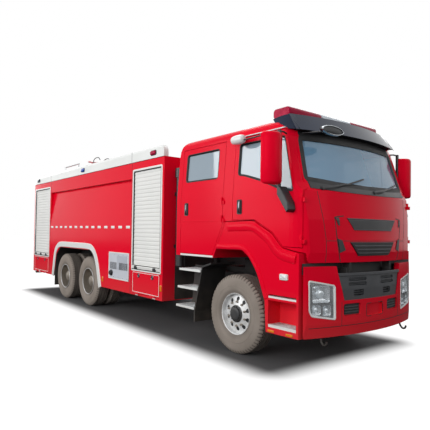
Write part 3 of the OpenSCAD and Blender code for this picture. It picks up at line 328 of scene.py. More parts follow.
# tinted acrylic lenses: strong colour under gloss, fluted inside (drawn as a soft grain)
amberLens = finish("amberLens", "#e98a13", "#cf6f08", blotch=40, grain=10, depth=0.1, rough=(0.15, 0.25), share=0.6,
                   Coat_Weight=0.7)
redLens = finish("redLens", "#a80d3c", "#86082e", blotch=90, grain=16, depth=0.08, rough=(0.14, 0.24), share=0.6,
                 Specular_IOR_Level=0.3, Specular_Tint=linear("#ff4060"))
blueLens = finish("blueLens", "#1c4fb4", "#123a8c", blotch=90, grain=16, depth=0.08, rough=(0.1, 0.2), share=0.6,
                  Coat_Weight=0.15)
iceLens = finish("clearBeaconLens", "#d4dfe8", "#bccbd8", blotch=90, grain=16, depth=0.08, rough=(0.12, 0.22),
                 share=0.6, Coat_Weight=0.8)
# smoked acrylic: blue-black and mirror-like
smokedAcrylic = finish("smokedAcrylic", "#1a2740", "#121c30", blotch=400, grain=30, depth=0.02, rough=(0.08, 0.16),
                       share=0.6, Coat_Weight=0.04, Specular_IOR_Level=0.25)
# woven polyester seat cloth over foam: dull grey-blue with a soft nap
seatCloth = finish("wovenSeatCloth", "#3a3f4a", "#2c3038", blotch=70, grain=4, depth=0.5, rough=(0.75, 0.9),
                   share=0.8, Sheen_Weight=0.4)
# hot-dip galvanised tube: pale spangled zinc
ladderZinc = finish("galvanisedTube", "#b9bcbd", "#a3a7a9", blotch=60, grain=9, depth=0.08, rough=(0.35, 0.5),
                    share=0.8, Metallic=0.8)
# moulded flap rubber: matt black, dusty low down
flapRubber = finish("flapRubber", "#151516", "#242220", blotch=160, grain=8, depth=0.25, rough=(0.6, 0.8), dust=road,
                    share=0.8)
# wheel steel sprayed silver: satin, lightly soiled
wheelSilver = finish("sprayedWheelSteel", "#e0e1e2", "#c6c5c2", blotch=140, grain=9, depth=0.12, rough=(0.34, 0.5),
                     share=0.7, Metallic=0.2)
# the same wheel steel under brown brake dust
dustyWheel = finish("dustyWheelSteel", "#aaa298", "#8f867b", blotch=260, grain=9, depth=0.12, rough=(0.26, 0.4),
                    share=0.8, Metallic=0.5)
# brushed-on hub paint: dull charcoal
hubBlack = finish("hubPaint", "#2a2b2d", "#3d3b38", blotch=90, grain=8, depth=0.2, rough=(0.45, 0.6), share=0.7)
# moulded tyre rubber greyed by road dust
tyreRubber = finish("dustyTyreRubber", "#90867d", "#7d746b", blotch=420, grain=10, depth=0.3, rough=(0.75, 0.9),
                    share=0.8)
# enamelled castings: a darker, rougher red
cannonRed = finish("cannonEnamel", "#b5172a", "#8f1020", blotch=120, grain=12, depth=0.1, rough=(0.3, 0.45),
                   share=0.7, Coat_Weight=0.4)
# prismatic reflective tape: white under a clear film
reflectTape = finish("reflectiveTape", "#f1f2ef", "#dcdfe0", blotch=40, grain=6, depth=0.1, rough=(0.25, 0.35),
                     Coat_Weight=0.5)
# laminated, tempered and moulded clear panes
screenGlass = glass("laminatedScreenGlass", "#93c6ea", clear=0.46, rough=0.03)
sideGlass = glass("tintedSideGlass", "#9db0be", clear=0.74, rough=0.03)
clearCover = glass("clearLampCover", "#e8eef2", clear=0.16, rough=0.02)

slotFinish = {"red_paint": redEnamel, "white_paint": whiteEnamel, "frame_black": chassisPaint,
              "shutter_alloy": shutterAlloy, "panel_grey": panelCoat, "insert_grey": insertPlastic,
              "trim_black": blackPlastic, "lamp_glass": lampLens, "marker_lens": amberLens,
              "smoked_visor": smokedAcrylic, "screen_glass": screenGlass, "side_glass": sideGlass,
              "seat_cloth": seatCloth, "ladder_steel": ladderZinc, "flap_rubber": flapRubber,
              "rim_silver": wheelSilver, "tyre_rubber": tyreRubber}

for entry in frame["record"]["subparts"]:
    mesh = nodes[entry["node"]].data
    mesh.materials.clear()
    mesh.materials.append(slotFinish[entry["material_slot"]])


# camera, floor and light

def placeInScene(obj, side, up, back, at):
    # into the scene, with the placing matrix built from its columns
    bpy.context.scene.collection.objects.link(obj)
    turn = np.eye(4)
    turn[:3] = np.stack([side, up, back, at], 1)
    obj.matrix_world = turn.T.tolist()


cameraSet = {"at": (8.419, -5.456, 1.677), "yaw": 143.154, "pitch": 1.378, "roll": 0.0159,
             "lens": 38.05, "sensor": 36.0, "shift": (0.0470, 0.0144)}


def aimCamera(s):
    # the view axis from yaw and pitch, then right and up turned by the roll
    yaw, pitch = np.radians(s["yaw"]), np.radians(s["pitch"])
    axis = np.array([np.cos(pitch) * np.cos(yaw), np.cos(pitch) * np.sin(yaw), np.sin(pitch)])
    side = np.cross(axis, upward)
    side /= np.linalg.norm(side)
    up = np.cross(side, axis)
    c, n = np.cos(s["roll"]), np.sin(s["roll"])
    data = bpy.data.cameras.new("photoCamera")
    data.lens, data.sensor_width, data.sensor_fit = s["lens"], s["sensor"], "HORIZONTAL"
    data.shift_x, data.shift_y = s["shift"]
    cam = bpy.data.objects.new("photoCamera", data)
    placeInScene(cam, c * side + n * up, c * up - n * side, -axis, s["at"])
    bpy.context.scene.camera = cam


aimCamera(cameraSet)

# the floor's dark grey shows only in and round the truck's footprint (foot, widened by fade), as a painted shadow;
# further out it glows to white
floorSet = {"half": 60.0, "under": 0.001, "colour": "#5a5a5b", "foot": (4.45, 1.30, 0.0), "fade": 0.55}


def layFloor(s):
    # a flat square a millimetre under the tyres; to the eye it glows to white with the distance from the truck's
    # footprint, the length of what remains of |place| - foot, so that the truck's own shadow stays and no horizon
    # shows;
    # in and round the footprint its dark grey stays unlifted as a painted shadow
    corners = np.array([(-1, -1), (1, -1), (1, 1), (-1, 1)]) * s["half"]
    mesh = bpy.data.meshes.new("floor")
    mesh.from_pydata([(x, y, -s["under"]) for x, y in corners.tolist()], [], [[0, 1, 2, 3]])
    mat, body, place = freshMaterial("paleFloorPaintedShadow", {"Roughness": 0.9, "Specular_IOR_Level": 0.1,
                                                   "Base_Color": linear(s["colour"]),
                                                   "Emission_Color": linear("#ffffff")})
    size = addNode(mat, "ShaderNodeVectorMath", {0: place}, operation="ABSOLUTE")
    over = addNode(mat, "ShaderNodeVectorMath", {0: size.outputs[0], 1: s["foot"]}, operation="SUBTRACT")
    rest = addNode(mat, "ShaderNodeVectorMath", {0: over.outputs[0], 1: (0, 0, 0)}, operation="MAXIMUM")
    away = addNode(mat, "ShaderNodeVectorMath", {0: rest.outputs[0]}, operation="LENGTH")
    glow = addNode(mat, "ShaderNodeMapRange", {"Value": away.outputs["Value"], "From Max": s["fade"]},
                   interpolation_type="SMOOTHSTEP")
    path = addNode(mat, "ShaderNodeLightPath").outputs
    seen = addNode(mat, "ShaderNodeMath", {0: path["Is Camera Ray"], 1: path["Is Transmission Ray"]},
                   operation="MAXIMUM")
    level = addNode(mat, "ShaderNodeMath", {0: glow.outputs[0], 1: seen.outputs[0]}, operation="MULTIPLY")
    mat.node_tree.links.new(level.outputs[0], body.inputs["Emission Strength"])
    mesh.materials.append(mat)
    obj = bpy.data.objects.new("floor", mesh)
    bpy.context.scene.collection.objects.link(obj)


layFloor(floorSet)

lightSet = {
    "sky": 0.26,
    "lamps": [  # name, place, aim, width, height, watts
        ("keyPanel", (6.5, -12.5, 5.2), (0.5, -1.0, 1.7), 9.0, 6.0, 830),
        ("sidePanel", (-5.0, -12.5, 4.8), (-1.5, -1.0, 1.7), 9.0, 6.0, 700),
        ("frontPanel", (15.0, 1.5, 5.0), (4.0, 0.0, 1.7), 7.0, 5.0, 210),
        ("topPanel", (0.0, 1.0, 12.0), (0.0, 0.0, 0.0), 12.0, 7.0, 460),
        ("farPanel", (-4.0, 11.0, 7.0), (-0.5, 0.0, 1.8), 9.0, 5.0, 380),
        ("rearPanel", (-15.0, -1.0, 5.5), (-4.5, 0.0, 1.8), 7.0, 5.0, 240),
    ],
}


def lightStage(s):
    # a white sky, full for what the eye, mirrors and glass see and dim as a lamp, and large soft panels
    world = bpy.data.worlds.new("studioSky")
    bpy.context.scene.world = world
    world.use_nodes = True
    back = world.node_tree.nodes["Background"]
    path = addNode(world, "ShaderNodeLightPath").outputs
    near = addNode(world, "ShaderNodeMath", {0: path["Is Camera Ray"], 1: path["Is Glossy Ray"]},
                   operation="MAXIMUM")
    seen = addNode(world, "ShaderNodeMath", {0: near.outputs[0], 1: path["Is Transmission Ray"]},
                   operation="MAXIMUM")
    level = addNode(world, "ShaderNodeMapRange", {"Value": seen.outputs[0], "To Min": s["sky"], "To Max": 1.0})
    world.node_tree.links.new(level.outputs[0], back.inputs["Strength"])
    back.inputs["Color"].default_value = linear("#ffffff")
    for name, at, aim, width, height, watts in s["lamps"]:
        data = bpy.data.lights.new(name, "AREA")
        data.shape, data.size, data.size_y, data.energy = "RECTANGLE", width, height, watts
        away = np.asarray(at) - np.asarray(aim)
        away /= np.linalg.norm(away)
        # a lamp that looks straight down lies along the truck
        side = np.cross(upward, away) if abs(away[2]) < 0.99 else np.array(ahead, float)
        side /= np.linalg.norm(side)
        placeInScene(bpy.data.objects.new(name, data), side, np.cross(away, side), away, at)


lightStage(lightSet)
bpy.context.scene.view_settings.view_transform = "Standard"
print("camera, floor and light set")


# wheels

wheelSet = {
    "radius": 0.546, "width": 0.300, "inside": [(0.18, 0.2903), (0.12, 0.2903)],
    "turns": 240, "notchEvery": 4, "notch": 0.016, "groove": 0.012,
    # offset from the tyre's face, radius, and where not 0 the share of the notch and of the groove
    "rows": [(0.035, 0.2903), (0.016, 0.318), (0.006, 0.352), (0.003, 0.388), (0.0005, 0.391), (0.0005, 0.399),
             (0.003, 0.402), (0.001, 0.436), (0.005, 0.474), (0.010, 0.500), (0.013, 0.506, 0.3), (0.020, 0.522, 1),
             (0.033, 0.537, 1), (0.044, 0.5445, 1), (0.052, 0.546, 1), (0.066, 0.546, 1), (0.068, 0.546),
             (0.0695, 0.546, 0, 1), (0.0785, 0.546, 0, 1), (0.080, 0.546), (0.106, 0.546), (0.1075, 0.546, 0, 1),
             (0.1165, 0.546, 0, 1), (0.118, 0.546), (0.150, 0.546)],
    # worn is the dark colour of tread wear and of the painted shade in notches and grooves; wear is how far it mixes
    # in
    "worn": "#2a2724", "wear": 0.6,
    # nuts and bolts: circle, count, size, height
    "nuts": (0.1675, 10, 0.0165, 0.024),
    # the rim's lip: distance from its place, radius
    "lip": [(-0.02, 0.2885), (0.004, 0.2895), (0.009, 0.285), (0.004, 0.2775), (-0.02, 0.2765)], "lipTurns": 72,
    "front": {"nutFace": 1.128, "lipAt": 1.160, "boltFace": 1.157, "bolts": (0.104, 12, 0.008, 0.012),
              "cap": [(1.118, 0.122), (1.150, 0.120), (1.156, 0.112), (1.160, 0.098), (1.181, 0.090), (1.186, 0.080),
                      (1.187, 0.05)]},
    "twin": {"nutFace": 0.931, "lipAt": 1.222, "boltFace": 1.162, "bolts": (0.090, 12, 0.008, 0.012),
             "cap": [(1.140, 0.1145), (1.158, 0.1130), (1.163, 0.104), (1.166, 0.080), (1.180, 0.074), (1.184, 0.064),
                     (1.186, 0.03)]},
    # hand holes of the front disc: count, circle, radius, from and to its outer face, which lies out by radius
    "holes": (10, 0.208, 0.0295, (-0.012, 0.0015)), "holePoints": 18,
    "disc": (0.892, (0.125, 0.206, 0.276), (0.252, 0.222, 0.205)),
    # body stem, tyre stem, axle, inner faces of its tyres
    "places": [("front_wheel", "front_tyre", 0.0, [0.892]), ("mid_wheels", "mid_tyres", -4.850, [0.599, 0.939]),
               ("rear_wheels", "rear_tyres", -6.220, [0.599, 0.939])],
}


def treadedTyre(axle, yIn, s):
    # a half profile and its mirror, turned about the axle; notches bite into the shoulders, grooves run round
    rows = np.array([(*row, 0, 0)[:4] for row in s["rows"]])
    back = rows[-2::-1] * [-1, 1, 1, 1] + [s["width"], 0, 0, 0]
    rows = np.concatenate([rows, back, [(*row, 0, 0) for row in s["inside"]]])
    # the two shoulders are notched half a pitch apart
    first = np.where(rows[:, 0] > s["width"] / 2, s["notchEvery"] // 2, 0)
    turn = np.arange(s["turns"])[:, None] % s["notchEvery"]
    bite = (turn == first) * rows[:, 2] * s["notch"]
    points, _ = turnedAbout(rows[:, :2], (axleX + axle, yIn, s["radius"]), toLeft, s["turns"],
                            -bite - rows[:, 3] * s["groove"])
    faces = [q[::-1] for q in gridFaces(s["turns"], len(rows), wrapRows=True, wrapCols=True)]
    # how dark each place is drawn: tread tops darker with wear, the bead a little darker, grooves darker and notches
    # darkest as painted shade in their hollows
    top = (rows[:, 1] > 0.5455) * 0.8 + (rows[:, 1] < 0.335) * 0.35 + (rows[:, 3] > 0) * 0.5
    return (points, faces), np.clip(top + (bite > 0.002), 0, 1.4).ravel()


def nutRing(axle, yFace, circle, count, size, height, s):
    # six-sided nuts with a round stud end, set round a circle and facing outwards
    shapes = []
    for a in np.arange(count) * 2 * np.pi / count + 0.3:
        at = (axleX + axle + circle * np.cos(a), -yFace, s["radius"] + circle * np.sin(a))
        nut = [(0, -0.004), (0, height * 0.8), (size * 0.2, height)]
        stud = [(0, 0), (0, height * 1.5), (size * 0.1, height * 1.6)]
        shapes += [slab(ring(size, 6), nut, at, fromRight), slab(ring(size * 0.5, 10), stud, at, fromRight)]
    return joined(*shapes)


def lathedCap(axle, profile, s, count=40):
    # a profile of (distance out, radius) turned about the axle on the right side, closed at its ends
    tip = 0.0005
    rows = [(profile[0][0], tip)] + list(profile) + [(profile[-1][0], tip)]
    points, faces = turnedAbout([(-y, r) for y, r in rows], (axleX + axle, 0, s["radius"]), toLeft, count)
    n, m = count, len(rows)
    return points, faces + [list(range(0, n * m, m))[::-1], list(range(m - 1, n * m, m))]


def dressWheel(stem, tyreStem, axle, inner, hand, s):
    # treaded tyres, nuts, a bright lip, a hub with its bolts, and dark plugs in the front disc's hand holes as
    # painted shade
    def onSide(shape):
        return mirrored(shape) if hand == "left" else shape
    body, tyreNode, front = f"{stem}_{hand}", f"{tyreStem}_{hand}", len(inner) == 1
    name, own = body.replace("wheels", "wheel"), s["front" if front else "twin"]
    tyres = [treadedTyre(axle, y, s) for y in inner]
    tread = piece(tyreNode + "_tread", onSide(mirrored(joined(*[shape for shape, _ in tyres]))), tyreRubber, body,
                  "tyre_rubber", (tyreNode,), sharp=30)
    # each point's share of tread wear and of painted shade in the notches and grooves
    layer = tread.data.attributes.new("treadWearAndShade", "FLOAT", "POINT")
    layer.data.foreach_set("value", np.concatenate([share for _, share in tyres]).astype(np.float32))
    nuts = nutRing(axle, own["nutFace"], *s["nuts"], s)
    piece(name + "_nuts", onSide(nuts), dustyWheel, body, "rim_silver")
    lip, _ = turnedAbout([(-own["lipAt"] - d, r) for d, r in s["lip"]], (axleX + axle, 0, s["radius"]), toLeft,
                         s["lipTurns"])
    lipFaces = gridFaces(s["lipTurns"], len(s["lip"]), wrapRows=True, wrapCols=True)
    piece(name + "_lip", onSide((lip, lipFaces)), wheelSilver, body, "rim_silver")
    hub = joined(lathedCap(axle, own["cap"], s), nutRing(axle, own["boltFace"], *own["bolts"], s))
    piece(name + "_hub", onSide(hub), hubBlack if front else dustyWheel, body, "rim_silver")
    if not front:
        nodes[tyreNode.replace("tyres", "rims")].data.materials[0] = dustyWheel
        return
    # each hand hole is closed by a dark plug: painted shade where one would look into the wheel
    count, circle, radius, depths = s["holes"]
    face, discR, discOut = s["disc"]
    holes = []
    for a in np.arange(count) * 2 * np.pi / count:
        spot = ring(radius, s["holePoints"]) + (circle * np.sin(a), circle * np.cos(a))
        out = face + np.interp(np.linalg.norm(spot, axis=1), discR, discOut)
        holes.append(stacked([np.stack([axleX + axle + spot[:, 0], -(out + d), s["radius"] + spot[:, 1]], -1)
                              for d in depths]))
    piece(name + "_holes", onSide(joined(*holes)), sealRubber, body, "trim_black")


def darkenTreadWearAndShade(mat, s):
    # tread tops wear darker than the dusty walls; notches and grooves get painted shade in the same dark colour
    base = mat.node_tree.nodes["Principled BSDF"].inputs["Base Color"]
    share = addNode(mat, "ShaderNodeAttribute", attribute_name="treadWearAndShade")
    soft = addNode(mat, "ShaderNodeMath", {0: share.outputs["Fac"], 1: s["wear"]}, operation="MULTIPLY")
    blend = addNode(mat, "ShaderNodeMix", {0: soft.outputs[0], 6: base.links[0].from_socket, 7: linear(s["worn"])},
                    data_type="RGBA")
    mat.node_tree.links.new(blend.outputs[2], base)


darkenTreadWearAndShade(tyreRubber, wheelSet)
for hand in ("left", "right"):
    for place in wheelSet["places"]:
        dressWheel(*place, hand, wheelSet)
print("wheels dressed")


# body sides; helpers place things by (length from the front axle, height) on the right wall, facing -Y

wallY = 1.250


def onWall(outline, at, levels, wall=wallY):
    # an outline standing off the right wall; at is its middle (x, z)
    return slab(outline, levels, (axleX + at[0], -wall, at[1]), fromRight)


def wallPlate(x0, x1, z0, z1, levels, radius=0.004, wall=wallY):
    # a rounded rectangle on the right wall, given by its edges
    return onWall(roundRect(x1 - x0, z1 - z0, radius, 4), ((x0 + x1) / 2, (z0 + z1) / 2), levels, wall)


def stripProfile(half, proud, ease, base=-0.001):
    # the section of a flat strip with eased upper edges
    return [(-half, base), (half, base), (half, proud - ease), (half - ease, proud), (-half + ease, proud),
            (-half, proud - ease)]


def wallFrame(x0, x1, z0, z1, width, proud, radius=0.02, wall=wallY):
    # a flat strip with eased edges carried round a rectangle on the right wall
    line = roundRect(x1 - x0 + width, z1 - z0 + width, radius, 4)
    path = np.stack([axleX + (x0 + x1) / 2 + line[:, 0], np.full(len(line), -wall), (z0 + z1) / 2 + line[:, 1]], -1)
    return carried(stripProfile(width / 2, proud, min(0.003, proud * 0.5)), path, toRight, closedPath=True)


# x0, x1, z0, z1 of each opening; where along it its catches sit
shutterSet = {"front": (-2.800, -1.842, 0.977, 2.800), "rear": (-8.551, -7.390, 0.977, 2.800),
              "catches": {"front": (0.16, 0.84), "rear": (0.14, 0.5, 0.86)}, "catch": 0.09,
              "frame": 0.036, "proud": 0.007}


def shutterFittings(s):
    # frame, gap shade and rubber lips, bottom bar and catches of the shutters on both sides
    frames, gapShadeAndLips, catches, bars = [], [], [], []
    gap = [(0, -0.02), (0, 0.001)]
    for key in ("front", "rear"):
        x0, x1, z0, z1 = s[key]
        frames.append(wallFrame(x0, x1, z0, z1, s["frame"], s["proud"]))
        # dark strips as painted shade in the gap between curtain and frame at the top and the sides, rubber lips over
        # and under the bottom bar
        gapShadeAndLips += [wallPlate(x0 + 0.002, x1 - 0.002, z1 - 0.018, z1 - 0.002, gap, 0.003),
                    wallPlate(x0 + 0.002, x0 + 0.016, z0 + 0.06, z1 - 0.018, gap, 0.003),
                    wallPlate(x1 - 0.016, x1 - 0.002, z0 + 0.06, z1 - 0.018, gap, 0.003),
                    wallPlate(x0 + 0.002, x1 - 0.002, z0 + 0.062, z0 + 0.075, [(0, -0.02), (0, 0.006)], 0.003),
                    wallPlate(x0 - 0.010, x1 + 0.010, z0 - 0.008, z0 + 0.005, [(0, -0.002), (0, 0.010)], 0.003)]
        # the curtain's heavy bottom bar with a lift lip and its catches
        bars += [wallPlate(x0 + 0.01, x1 - 0.01, z0 + 0.006, z0 + 0.062,
                           [(0, -0.02), (0, 0.008), (0.006, 0.012)], 0.006),
                 wallPlate(x0 + 0.04, x1 - 0.04, z0 + 0.040, z0 + 0.056,
                           [(0, 0.008), (0, 0.022), (0.003, 0.025)], 0.004)]
        for share in s["catches"][key]:
            x = x0 + share * (x1 - x0)
            catches.append(wallPlate(x - s["catch"] / 2, x + s["catch"] / 2, z0 + 0.004, z0 + 0.060,
                                     [(0, 0.008), (0, 0.026), (0.006, 0.032)], 0.008))
    piece("shutter_frames", both(*frames), whiteEnamel, "truck", "white_paint")
    piece("shutter_gap_shade_and_lips", both(*gapShadeAndLips), sealRubber, "truck", "trim_black")
    piece("shutter_bottom_bars", both(*bars), shutterAlloy, "truck", "shutter_alloy")
    piece("shutter_catches", both(*catches), blackPlastic, "truck", "trim_black")


shutterFittings(shutterSet)

stripSet = {"dashes": 14, "from": -7.16, "to": -3.00, "z": 1.752, "dash": (0.15, 0.050),
            "lowX": (-2.62, -2.02, -7.62, -8.10, -8.42), "lowZ": 0.516, "low": (0.10, 0.034),
            "seamShade": [(-2.874, -2.866, 0.50, 2.97), (-7.304, -7.296, 0.50, 2.97), (-8.645, -1.758, 2.966, 2.973),
                      (-2.862, -1.756, 0.944, 0.950), (-8.645, -7.308, 0.944, 0.950)]}


def wallStrips(s):
    # reflective dashes in a row, low reflectors, and dark strips of painted shade in the gaps where the body's
    # sections meet
    tape = [onWall(roundRect(*s["dash"], 0.004, 2), (x, s["z"]), [(0, -0.001), (0, 0.0015), (0.002, 0.0025)])
            for x in np.linspace(s["from"], s["to"], s["dashes"])]
    tape += [onWall(roundRect(*s["low"], 0.005, 2), (x, s["lowZ"]), [(0, -0.001), (0, 0.002), (0.002, 0.003)])
             for x in s["lowX"]]
    piece("reflective_strips", both(*tape), reflectTape, "truck", "white_paint")
    # the seams are dark strips: painted shade in the panel gaps
    seamShade = [wallPlate(*box, [(0, -0.002), (0, 0.0012)], 0.002) for box in s["seamShade"]]
    piece("body_seam_shade", both(*seamShade), sealRubber, "truck", "trim_black")


wallStrips(stripSet)

flapSet = {"front_flap": (-2.800, -1.842), "rear_flap": (-8.551, -7.390), "z": (0.536, 0.940),
           "lineIn": 0.028, "line": 0.010, "pulls": (0.25, 0.75), "plate": 0.042, "plateDown": 0.075,
           "loop": 0.026, "loopDown": 0.078, "loopY": 1.2555}


def flapTrim(s):
    # a thin pale line round each flap and ring pulls on dished plates
    for key in ("front_flap", "rear_flap"):
        (x0, x1), (z0, z1), e = s[key], s["z"], s["lineIn"]
        line = wallFrame(x0 + e, x1 - e, z0 + e, z1 - e, s["line"], 0.002, 0.012)
        middles = [x0 + share * (x1 - x0) for share in s["pulls"]]
        plates = [onWall(ring(s["plate"], 24), (x, z1 - s["plateDown"]),
                         [(0, -0.001), (0, 0.004), (0.006, 0.006), (0.010, 0.003)]) for x in middles]
        loops = []
        for x in middles:
            turn = ring(s["loop"], 20)
            path = np.stack([axleX + x + turn[:, 0], np.full(20, -s["loopY"]), z1 - s["loopDown"] + turn[:, 1]], -1)
            loops.append(tube(0.004, path, toRight, 8, closedPath=True))
        for hand in ("left", "right"):
            flip = mirrored if hand == "left" else joined
            piece(f"{key}_line_{hand}", flip(line), reflectTape, f"{key}_{hand}", "white_paint")
            # the pulls and their plates take the darkened chrome: painted shade for what they mirror
            piece(f"{key}_pulls_{hand}", flip(joined(*plates, *loops)), shadedChrome, f"{key}_{hand}", "ladder_steel")


flapTrim(flapSet)

panelSet = {"x": (-3.760, -2.920), "z": (0.715, 1.252), "face": 1.264, "border": 0.020, "knob": (-3.630, 0.836),
            "slitZ": (0.912, 1.050), "slitGroups": [(-3.690, 9), (-3.300, 11)], "slitStep": 0.032, "slitWide": 0.015}


def pumpPanel(s):
    # white border strip, vent slits in two groups drawn as dark plates of painted shade, a black valve knob, screws
    # along the edges
    (x0, x1), (z0, z1), face, e = s["x"], s["z"], s["face"], s["border"]
    border = wallFrame(x0 + e, x1 - e, z0 + e, z1 - e, e, 0.004, wall=face)
    piece("pump_panel_border", both(border), whiteEnamel, "truck", "white_paint")
    slitShade = [wallPlate(x, x + s["slitWide"], *s["slitZ"], [(0, -0.004), (0, 0.002)], wall=face)
             for start, count in s["slitGroups"] for x in start + np.arange(count) * s["slitStep"]]
    knob = onWall(ring(0.062, 28), s["knob"], [(0, -0.002), (0, 0.012), (0.008, 0.018), (0.016, 0.018),
                                               (0.018, 0.040), (0.024, 0.046)], face)
    piece("pump_panel_slit_shade_and_knob", both(*slitShade, knob), blackPlastic, "truck", "trim_black")
    screws = [onWall(ring(0.008, 10), (x, z), [(0, -0.001), (0, 0.003), (0.003, 0.005)], face)
              for x in np.linspace(x0 + 0.05, x1 - 0.05, 5) for z in (z0 + 0.05, z1 - 0.05)]
    piece("pump_panel_screws", both(*screws), chromePlate, "truck", "ladder_steel")


pumpPanel(panelSet)
print("body sides dressed")

archSet = {"outer": [(-7.085, 0.497), (-7.030, 0.760), (-6.965, 1.040), (-6.860, 1.235), (-6.660, 1.355),
                     (-6.400, 1.388), (-5.600, 1.390), (-4.850, 1.388), (-4.600, 1.345), (-4.410, 1.210),
                     (-4.280, 1.000), (-4.190, 0.750), (-4.115, 0.497)],
           "well": [(-6.949, 0.500), (-6.949, 0.521), (-6.828, 1.003), (-6.806, 1.050), (-6.769, 1.089),
                    (-6.589, 1.221), (-6.521, 1.244), (-4.667, 1.244), (-4.606, 1.227), (-4.590, 1.214),
                    (-4.430, 1.067), (-4.391, 1.016), (-4.251, 0.521), (-4.251, 0.500)],
           "half": 0.064, "proud": 0.015, "ease": 0.006, "inner": 0.600, "deep": 0.643, "sheet": 0.004, "back": 0.592}


def rearArches(s):
    # a white band carried along a smooth arch, and a black liner of the wheel well with its inner wall
    outer, well, t = smoothPath(s["outer"], 6), np.array(s["well"]), s["sheet"]
    run = np.gradient(outer, axis=0)
    run /= np.linalg.norm(run, axis=1)[:, None]
    middle = outer + s["half"] * np.stack([run[:, 1], -run[:, 0]], -1)
    path = np.stack([axleX + middle[:, 0], np.full(len(middle), -wallY), middle[:, 1]], -1)
    band = carried(stripProfile(s["half"], s["proud"], s["ease"]), path, toRight)
    piece("arch_band_strips", both(band), whiteEnamel, "truck", "white_paint", stands=("arch_bands",))
    line = np.stack([axleX + well[:, 0], np.full(len(well), -s["inner"]), well[:, 1]], -1)
    liner = carried([(-t, 0), (t, 0), (t, s["deep"]), (-t, s["deep"])], line, toRight)
    wall = slab(well[2:-2] - (0, t), [(0, 0), (0, 0.006)], (axleX, -s["back"], 0), fromRight)
    piece("arch_liners", both(liner, wall), chassisPaint, "truck", "frame_black")


rearArches(archSet)
print("arches dressed")


# front: cab face and bumper bow about an upright axis far behind, so a place there is (y, z, height over the skin)

bowX = -2.836
cabContour = ([1.330, 1.450, 1.850, 2.200, 2.300, 2.905, 3.010, 3.095, 3.140],
              [1.386, 1.400, 1.395, 1.358, 1.300, 1.115, 1.060, 0.930, 0.700])
bumperContour = ([0.412, 0.432, 0.592, 1.000, 1.287], [1.330, 1.392, 1.411, 1.411, 1.398])


def onBow(yz, contour, height):
    # x is the circle about the bow axis through the contour at this height, moved outwards
    yz = np.asarray(yz, float)
    x = bowX + np.sqrt((np.interp(yz[..., 1], *contour) + height - bowX) ** 2 - yz[..., 0] ** 2)
    return np.concatenate([(x + axleX)[..., None], yz], -1)


def cabFace(yz, height):
    # the cab's front skin
    return onBow(yz, cabContour, height)


def bumperFace(yz, height):
    # the bumper's front skin
    return onBow(yz, bumperContour, height)


def gapFace(yz, height):
    # an upright plane between fenders and bumper
    yz = np.asarray(yz, float)
    return np.concatenate([np.full(yz.shape[:-1] + (1,), axleX + 1.226 + height), yz], -1)


def cabSide(xz, height):
    # the cab's right side: upright below the belt, leaning in above it, rolled inwards at the front corner
    xz = np.asarray(xz, float)
    rollFrom, rollY, rollR, belt, lean = 1.032, 0.980, 0.26, 2.2, 0.0745
    past = np.clip(xz[..., 0] - rollFrom, 0, 0.259)
    y = rollY + np.sqrt(rollR ** 2 - past ** 2) - lean * np.clip(xz[..., 1] - belt, 0, 1)
    return np.stack([xz[..., 0] + axleX, -(y + height), xz[..., 1]], -1)


def eased(points, radius, steps=5):
    # each corner becomes a quadratic curve that starts and ends a radius away along its two sides
    p = np.asarray(points, float)
    back, on = np.roll(p, 1, 0) - p, np.roll(p, -1, 0) - p
    a = p + radius * back / np.linalg.norm(back, axis=1)[:, None]
    b = p + radius * on / np.linalg.norm(on, axis=1)[:, None]
    t = np.linspace(0, 1, steps)[None, :, None]
    return ((1 - t) ** 2 * a[:, None] + 2 * t * (1 - t) * p[:, None] + t ** 2 * b[:, None]).reshape(-1, 2)


def dense(outline, step=0.05):
    # more points along long sides, so that they follow a bowed face
    sides = [(a, b, max(1, int(np.linalg.norm(b - a) / step))) for a, b in zip(outline, np.roll(outline, -1, 0))]
    return np.concatenate([a + (b - a) * (np.arange(n) / n)[:, None] for a, b, n in sides])


def skinSlab(outline, levels, face):
    # an outline on a curved face at several levels of (shrink, height), closed at both ends
    return stacked([face(inset(outline, shrink), height) for shrink, height in levels])


def skinBand(outline, levels, face):
    # a ring round an outline: the levels of (shrink, height) are its section, closed on itself
    rings = [face(inset(outline, shrink), height) for shrink, height in levels]
    return np.concatenate(rings), gridFaces(len(levels), len(outline), wrapRows=True, wrapCols=True)


def closedSheet(points):
    # rows of points that go out along one face and back along the other, with both row ends closed
    m, n = points.shape[:2]
    ends = [[r * n for r in range(m)], [r * n + n - 1 for r in range(m)][::-1]]
    return points.reshape(-1, 3), gridFaces(m, n, wrapRows=True) + ends


def skinPatch(low, high, out, back, face, cols=14, rows=3):
    # a curved plate between two edges: points blend from the low to the high edge, once at each of two heights
    u = np.linspace(0, 1, cols + 1)
    low, high = (np.stack([np.interp(u, np.linspace(0, 1, len(e)), np.asarray(e, float)[:, k]) for k in (0, 1)], -1)
                 for e in (low, high))
    v = np.linspace(0, 1, rows + 1)[:, None, None]
    sheet = low * (1 - v) + high * v
    return closedSheet(np.concatenate([face(sheet, out), face(sheet[::-1], back)]))


def skinStrip(y0, y1, z0, z1, out, back, face, cols=14, rows=1):
    # a plate between two level edges
    return skinPatch([(y0, z0), (y1, z0)], [(y0, z1), (y1, z1)], out, back, face, cols, rows)


def skinTrapeze(half0, z0, half1, z1, *rest):
    # a plate that is as wide to the left as to the right: half width and height of its low and high edge
    return skinPatch([(-half0, z0), (half0, z0)], [(-half1, z1), (half1, z1)], *rest)


# middle, width and height of the large cup and of the square ones
lampSet = {"line": [(0.737, 0.630), (1.105, 0.690), (1.140, 0.760), (1.145, 1.130), (0.745, 1.060)],
           "cups": [(0.955, 0.952, 0.262, 0.212), (0.868, 0.752, 0.136, 0.138), (1.022, 0.768, 0.136, 0.138)],
           "corner": 0.035, "cupCorner": 0.028, "cell": 0.24}


